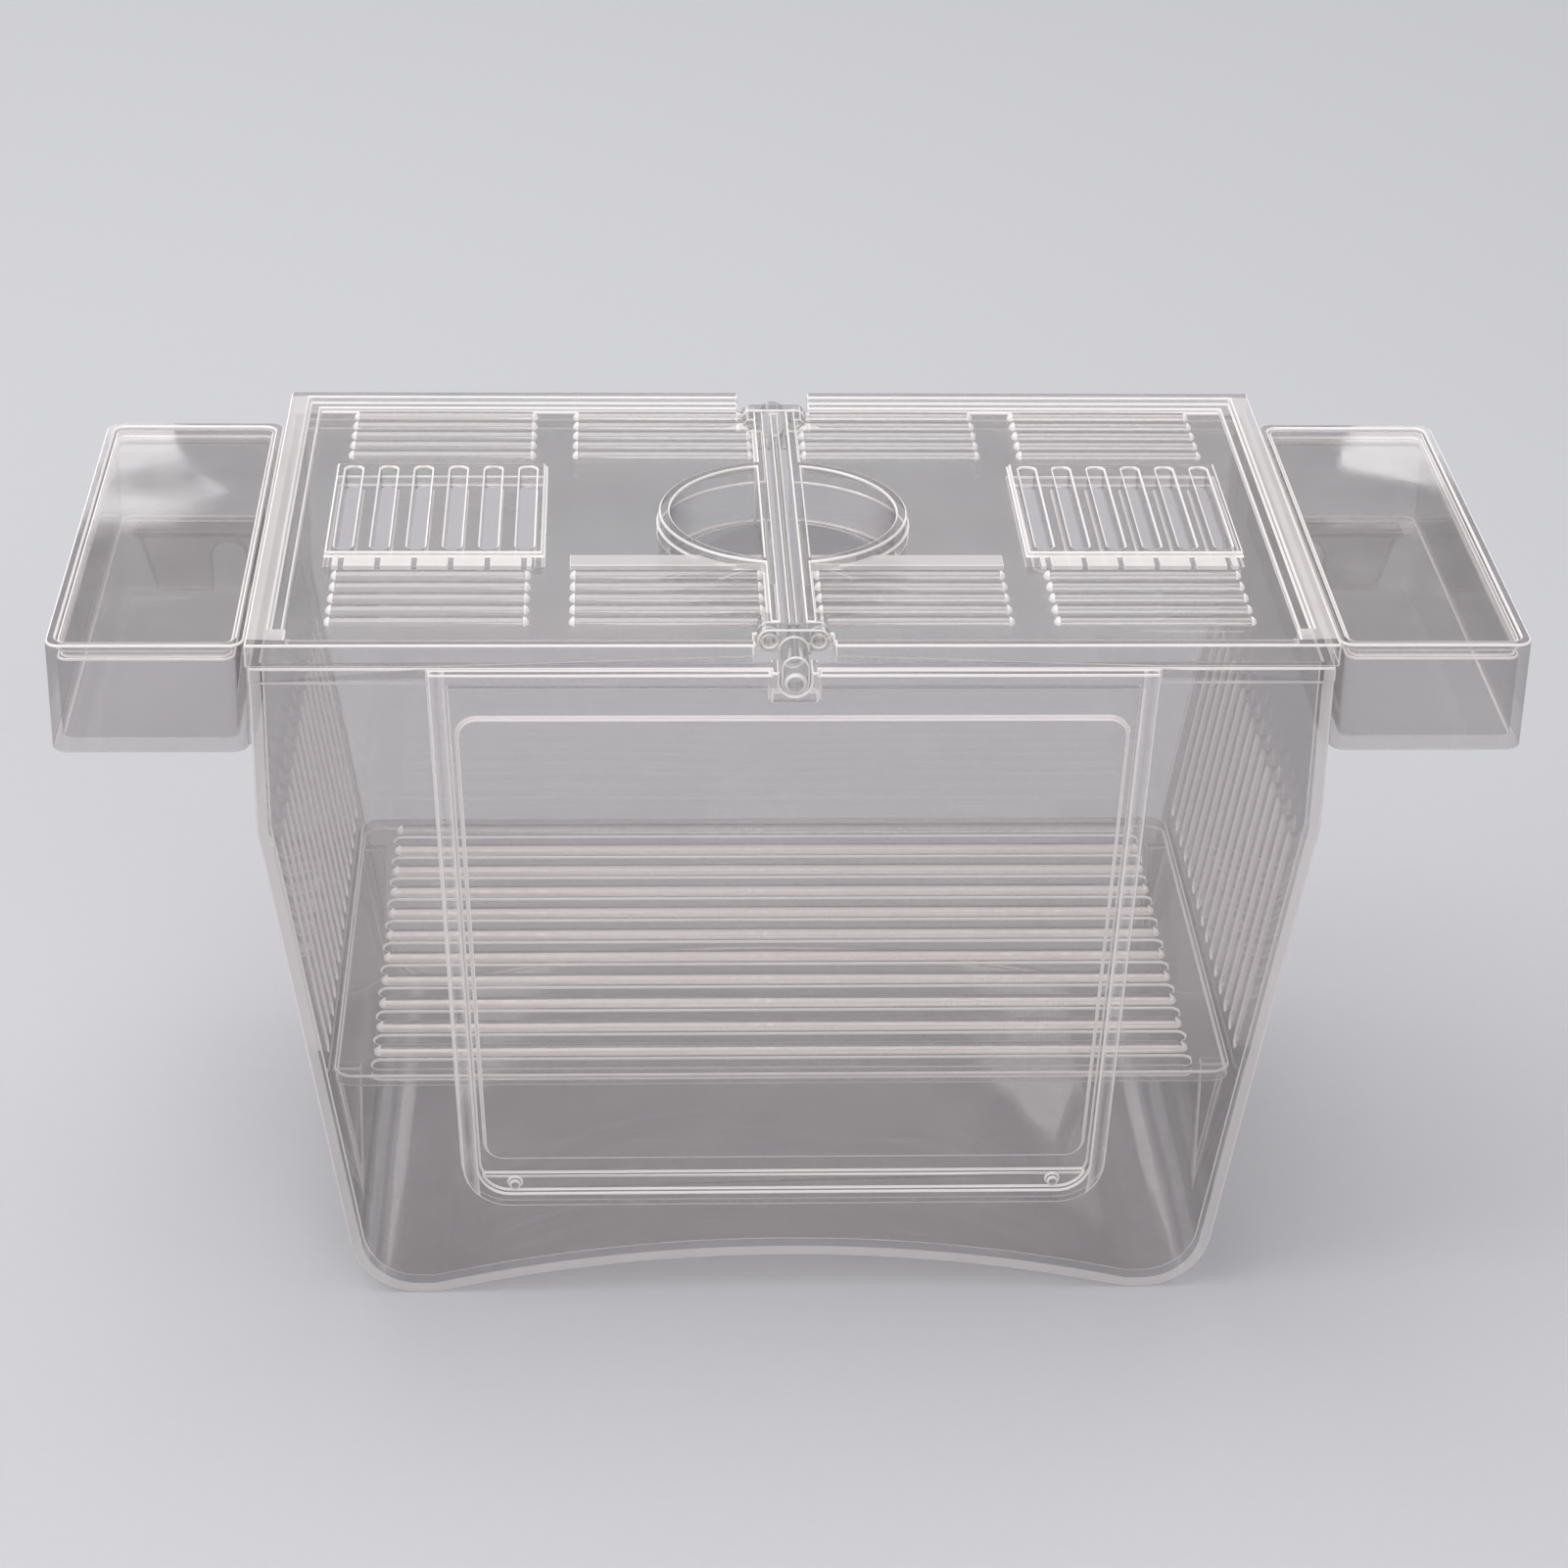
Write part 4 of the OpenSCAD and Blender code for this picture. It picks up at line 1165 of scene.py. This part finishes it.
    def row(self, size):
        """Wider bars before the vents: one unbroken, one parted in line with each vent."""
        inner = bpy.data.materials["polystyrene_rim_painted_glow"]
        outer = bpy.data.materials["polystyrene_bar_painted_glow"]
        first = row_first(size.vent_x, size.vents, size.vent_pitch)
        vents = [first + i * size.vent_pitch for i in range(size.vents)]
        starts = [size.inner_from, size.outer_from, *(x + size.row_gap / 2 for x in vents)]
        ends = [size.inner_to, *(x - size.row_gap / 2 for x in vents), size.outer_to]
        far_y = MIDDLE_Y + size.vent_y - size.vent_long / 2 - size.vent_margin - size.row_in
        face = LID_HIGH.z - self.rim_height() + size.plate
        sides = (far_y - size.row, far_y, face - size.plate / 2, face + size.row_up)
        materials = [inner] + [outer] * (len(starts) - 1)
        return [block(x0, x1, *sides, material) for x0, x1, material in zip(starts, ends, materials)]

    def ribs(self, size, edge):
        """The two bands of grip ribs, in two lengths."""
        rib = bpy.data.materials["polystyrene_moulded_rib"]
        face = LID_HIGH.z - self.rim_height() + size.plate
        rows = []
        for middle in (LID_HIGH.y - size.back_band, LID_LOW.y + size.front_band):
            first_y = row_first(middle, size.ribs, size.rib_pitch)
            for x0, x1 in ((size.inner_from, size.inner_to), (size.outer_from, size.outer_to)):
                # The ribs' round ends take the edge material and its painted glow
                rows.append(
                    bar_row(
                        "domed_bars", rib, edge, count=size.ribs,
                        first=((x0 + x1) / 2, first_y, face), step=(0, size.rib_pitch, 0),
                        length=x1 - x0, width=size.rib, height=size.rib_up,
                    )
                )
        return rows


class BREEDER_OT_floats(bpy.types.Operator):
    """Dress the float trays, their covers and the cup brackets"""

    bl_idname = "breeder.floats"
    bl_label = "Floats and brackets"

    def execute(self, context):
        look = context.scene.breeder_plastic
        wall = bpy.data.materials["clear_polystyrene_float"]
        edge = bpy.data.materials["polystyrene_moulded_edge"]
        for side in ("left", "right"):
            for node in ("float_tray", "float_cover", "cup_bracket"):
                name = f"{side}_{node}"
                piece = copied(name, wall)
                shade(round_edges(piece, look.edge, edge))
                stands_for(piece, name)
        return {"FINISHED"}


class BREEDER_OT_stage(bpy.types.Operator):
    """Set the pale floor, the soft lamps and the camera"""

    bl_idname = "breeder.stage"
    bl_label = "Stage"

    def execute(self, context):
        look = context.scene.breeder_stage
        scene = context.scene
        far = FLOOR_REACH
        square = [(-far, -far), (far, -far), (far, far), (-far, far)]
        floor = prism(square, "Z", -FLOOR_DEEP, -FLOOR_GAP, studio_paper(look))
        floor.name = "studio_floor"

        world = bpy.data.worlds.new("soft_surround")
        scene.world = world
        self.room(world, look)
        for lamp in LAMPS:
            self.softbox(*lamp)

        camera = bpy.data.cameras.new("camera")
        camera.lens = look.lens
        camera.clip_start = NEAREST
        eye = bpy.data.objects.new("camera", camera)
        scene.collection.objects.link(eye)
        eye.matrix_world = (
            Matrix.Translation(look.eye)
            @ Matrix.Rotation(-look.yaw, 4, "Z")
            @ Matrix.Rotation(QUARTER - look.pitch, 4, "X")
            @ Matrix.Rotation(look.roll, 4, "Z")
        )
        scene.camera = eye
        scene.view_settings.view_transform = "Standard"
        scene.cycles.transparent_max_bounces = CLEAR_LAYERS
        return {"FINISHED"}

    @staticmethod
    def room(world, look):
        """Soft light of the room: bright overhead, falling off towards the level of the box."""
        world.use_nodes = True
        tree = world.node_tree
        tree.nodes.clear()
        way = add_node(tree, "ShaderNodeTexCoord").outputs["Generated"]
        height = add_node(tree, "ShaderNodeSeparateXYZ", {0: way}).outputs["Z"]
        rise = add_node(tree, "ShaderNodeMapRange", {"Value": height, "From Min": 0.1, "From Max": 0.9})
        tone = add_node(
            tree,
            "ShaderNodeMixRGB",
            {"Fac": rise.outputs[0], "Color1": (*look.level, 1), "Color2": (*look.overhead, 1)},
        )
        glow = add_node(
            tree, "ShaderNodeBackground", {"Color": tone.outputs[0], "Strength": look.surround}
        )
        add_node(tree, "ShaderNodeOutputWorld", {"Surface": glow.outputs[0]})

    @staticmethod
    def softbox(name, place, size, power):
        """A soft rectangular lamp that faces the box."""
        lamp = bpy.data.lights.new(name, "AREA")
        lamp.shape = "RECTANGLE"
        lamp.size, lamp.size_y = size
        lamp.energy = power
        thing = bpy.data.objects.new(name, lamp)
        bpy.context.scene.collection.objects.link(thing)
        thing.location = place
        aim = Vector(LAMP_TARGET) - Vector(place)
        thing.rotation_euler = aim.to_track_quat("-Z", "Y").to_euler()


class BREEDER_PT_panel(bpy.types.Panel):
    """Buttons for the pieces of the breeding box"""

    bl_label = "Breeding box"
    bl_idname = "BREEDER_PT_panel"
    bl_space_type = "VIEW_3D"
    bl_region_type = "UI"
    bl_category = "Breeding box"

    def draw(self, context):
        for operator in OPERATORS:
            self.layout.operator(operator.bl_idname)


GROUPS = {
    "breeder_tank": TankShape,
    "breeder_shelf": ShelfShape,
    "breeder_lid": LidShape,
    "breeder_hinge": HingeShape,
    "breeder_plastic": PlasticLook,
    "breeder_stage": StageLook,
}
OPERATORS = (
    BREEDER_OT_materials,
    BREEDER_OT_rows,
    BREEDER_OT_tank,
    BREEDER_OT_shelf,
    BREEDER_OT_hinge_bar,
    BREEDER_OT_lids,
    BREEDER_OT_floats,
    BREEDER_OT_stage,
)


def register():
    """Add the classes, and hang each group of properties on the scene."""
    for cls in (*GROUPS.values(), *OPERATORS, BREEDER_PT_panel):
        bpy.utils.register_class(cls)
    for name, group in GROUPS.items():
        setattr(bpy.types.Scene, name, PointerProperty(type=group))


def unregister():
    """Take away what register added."""
    for name in GROUPS:
        delattr(bpy.types.Scene, name)
    for cls in (BREEDER_PT_panel, *reversed(OPERATORS), *reversed(GROUPS.values())):
        bpy.utils.unregister_class(cls)


def main():
    """Build every piece and the stage."""
    register()
    bpy.ops.breeder.materials()
    bpy.ops.breeder.rows()
    bpy.ops.breeder.tank()
    bpy.ops.breeder.shelf()
    bpy.ops.breeder.hinge_bar()
    bpy.ops.breeder.lids()
    bpy.ops.breeder.floats()
    bpy.ops.breeder.stage()


if __name__ == "__main__":
    main()
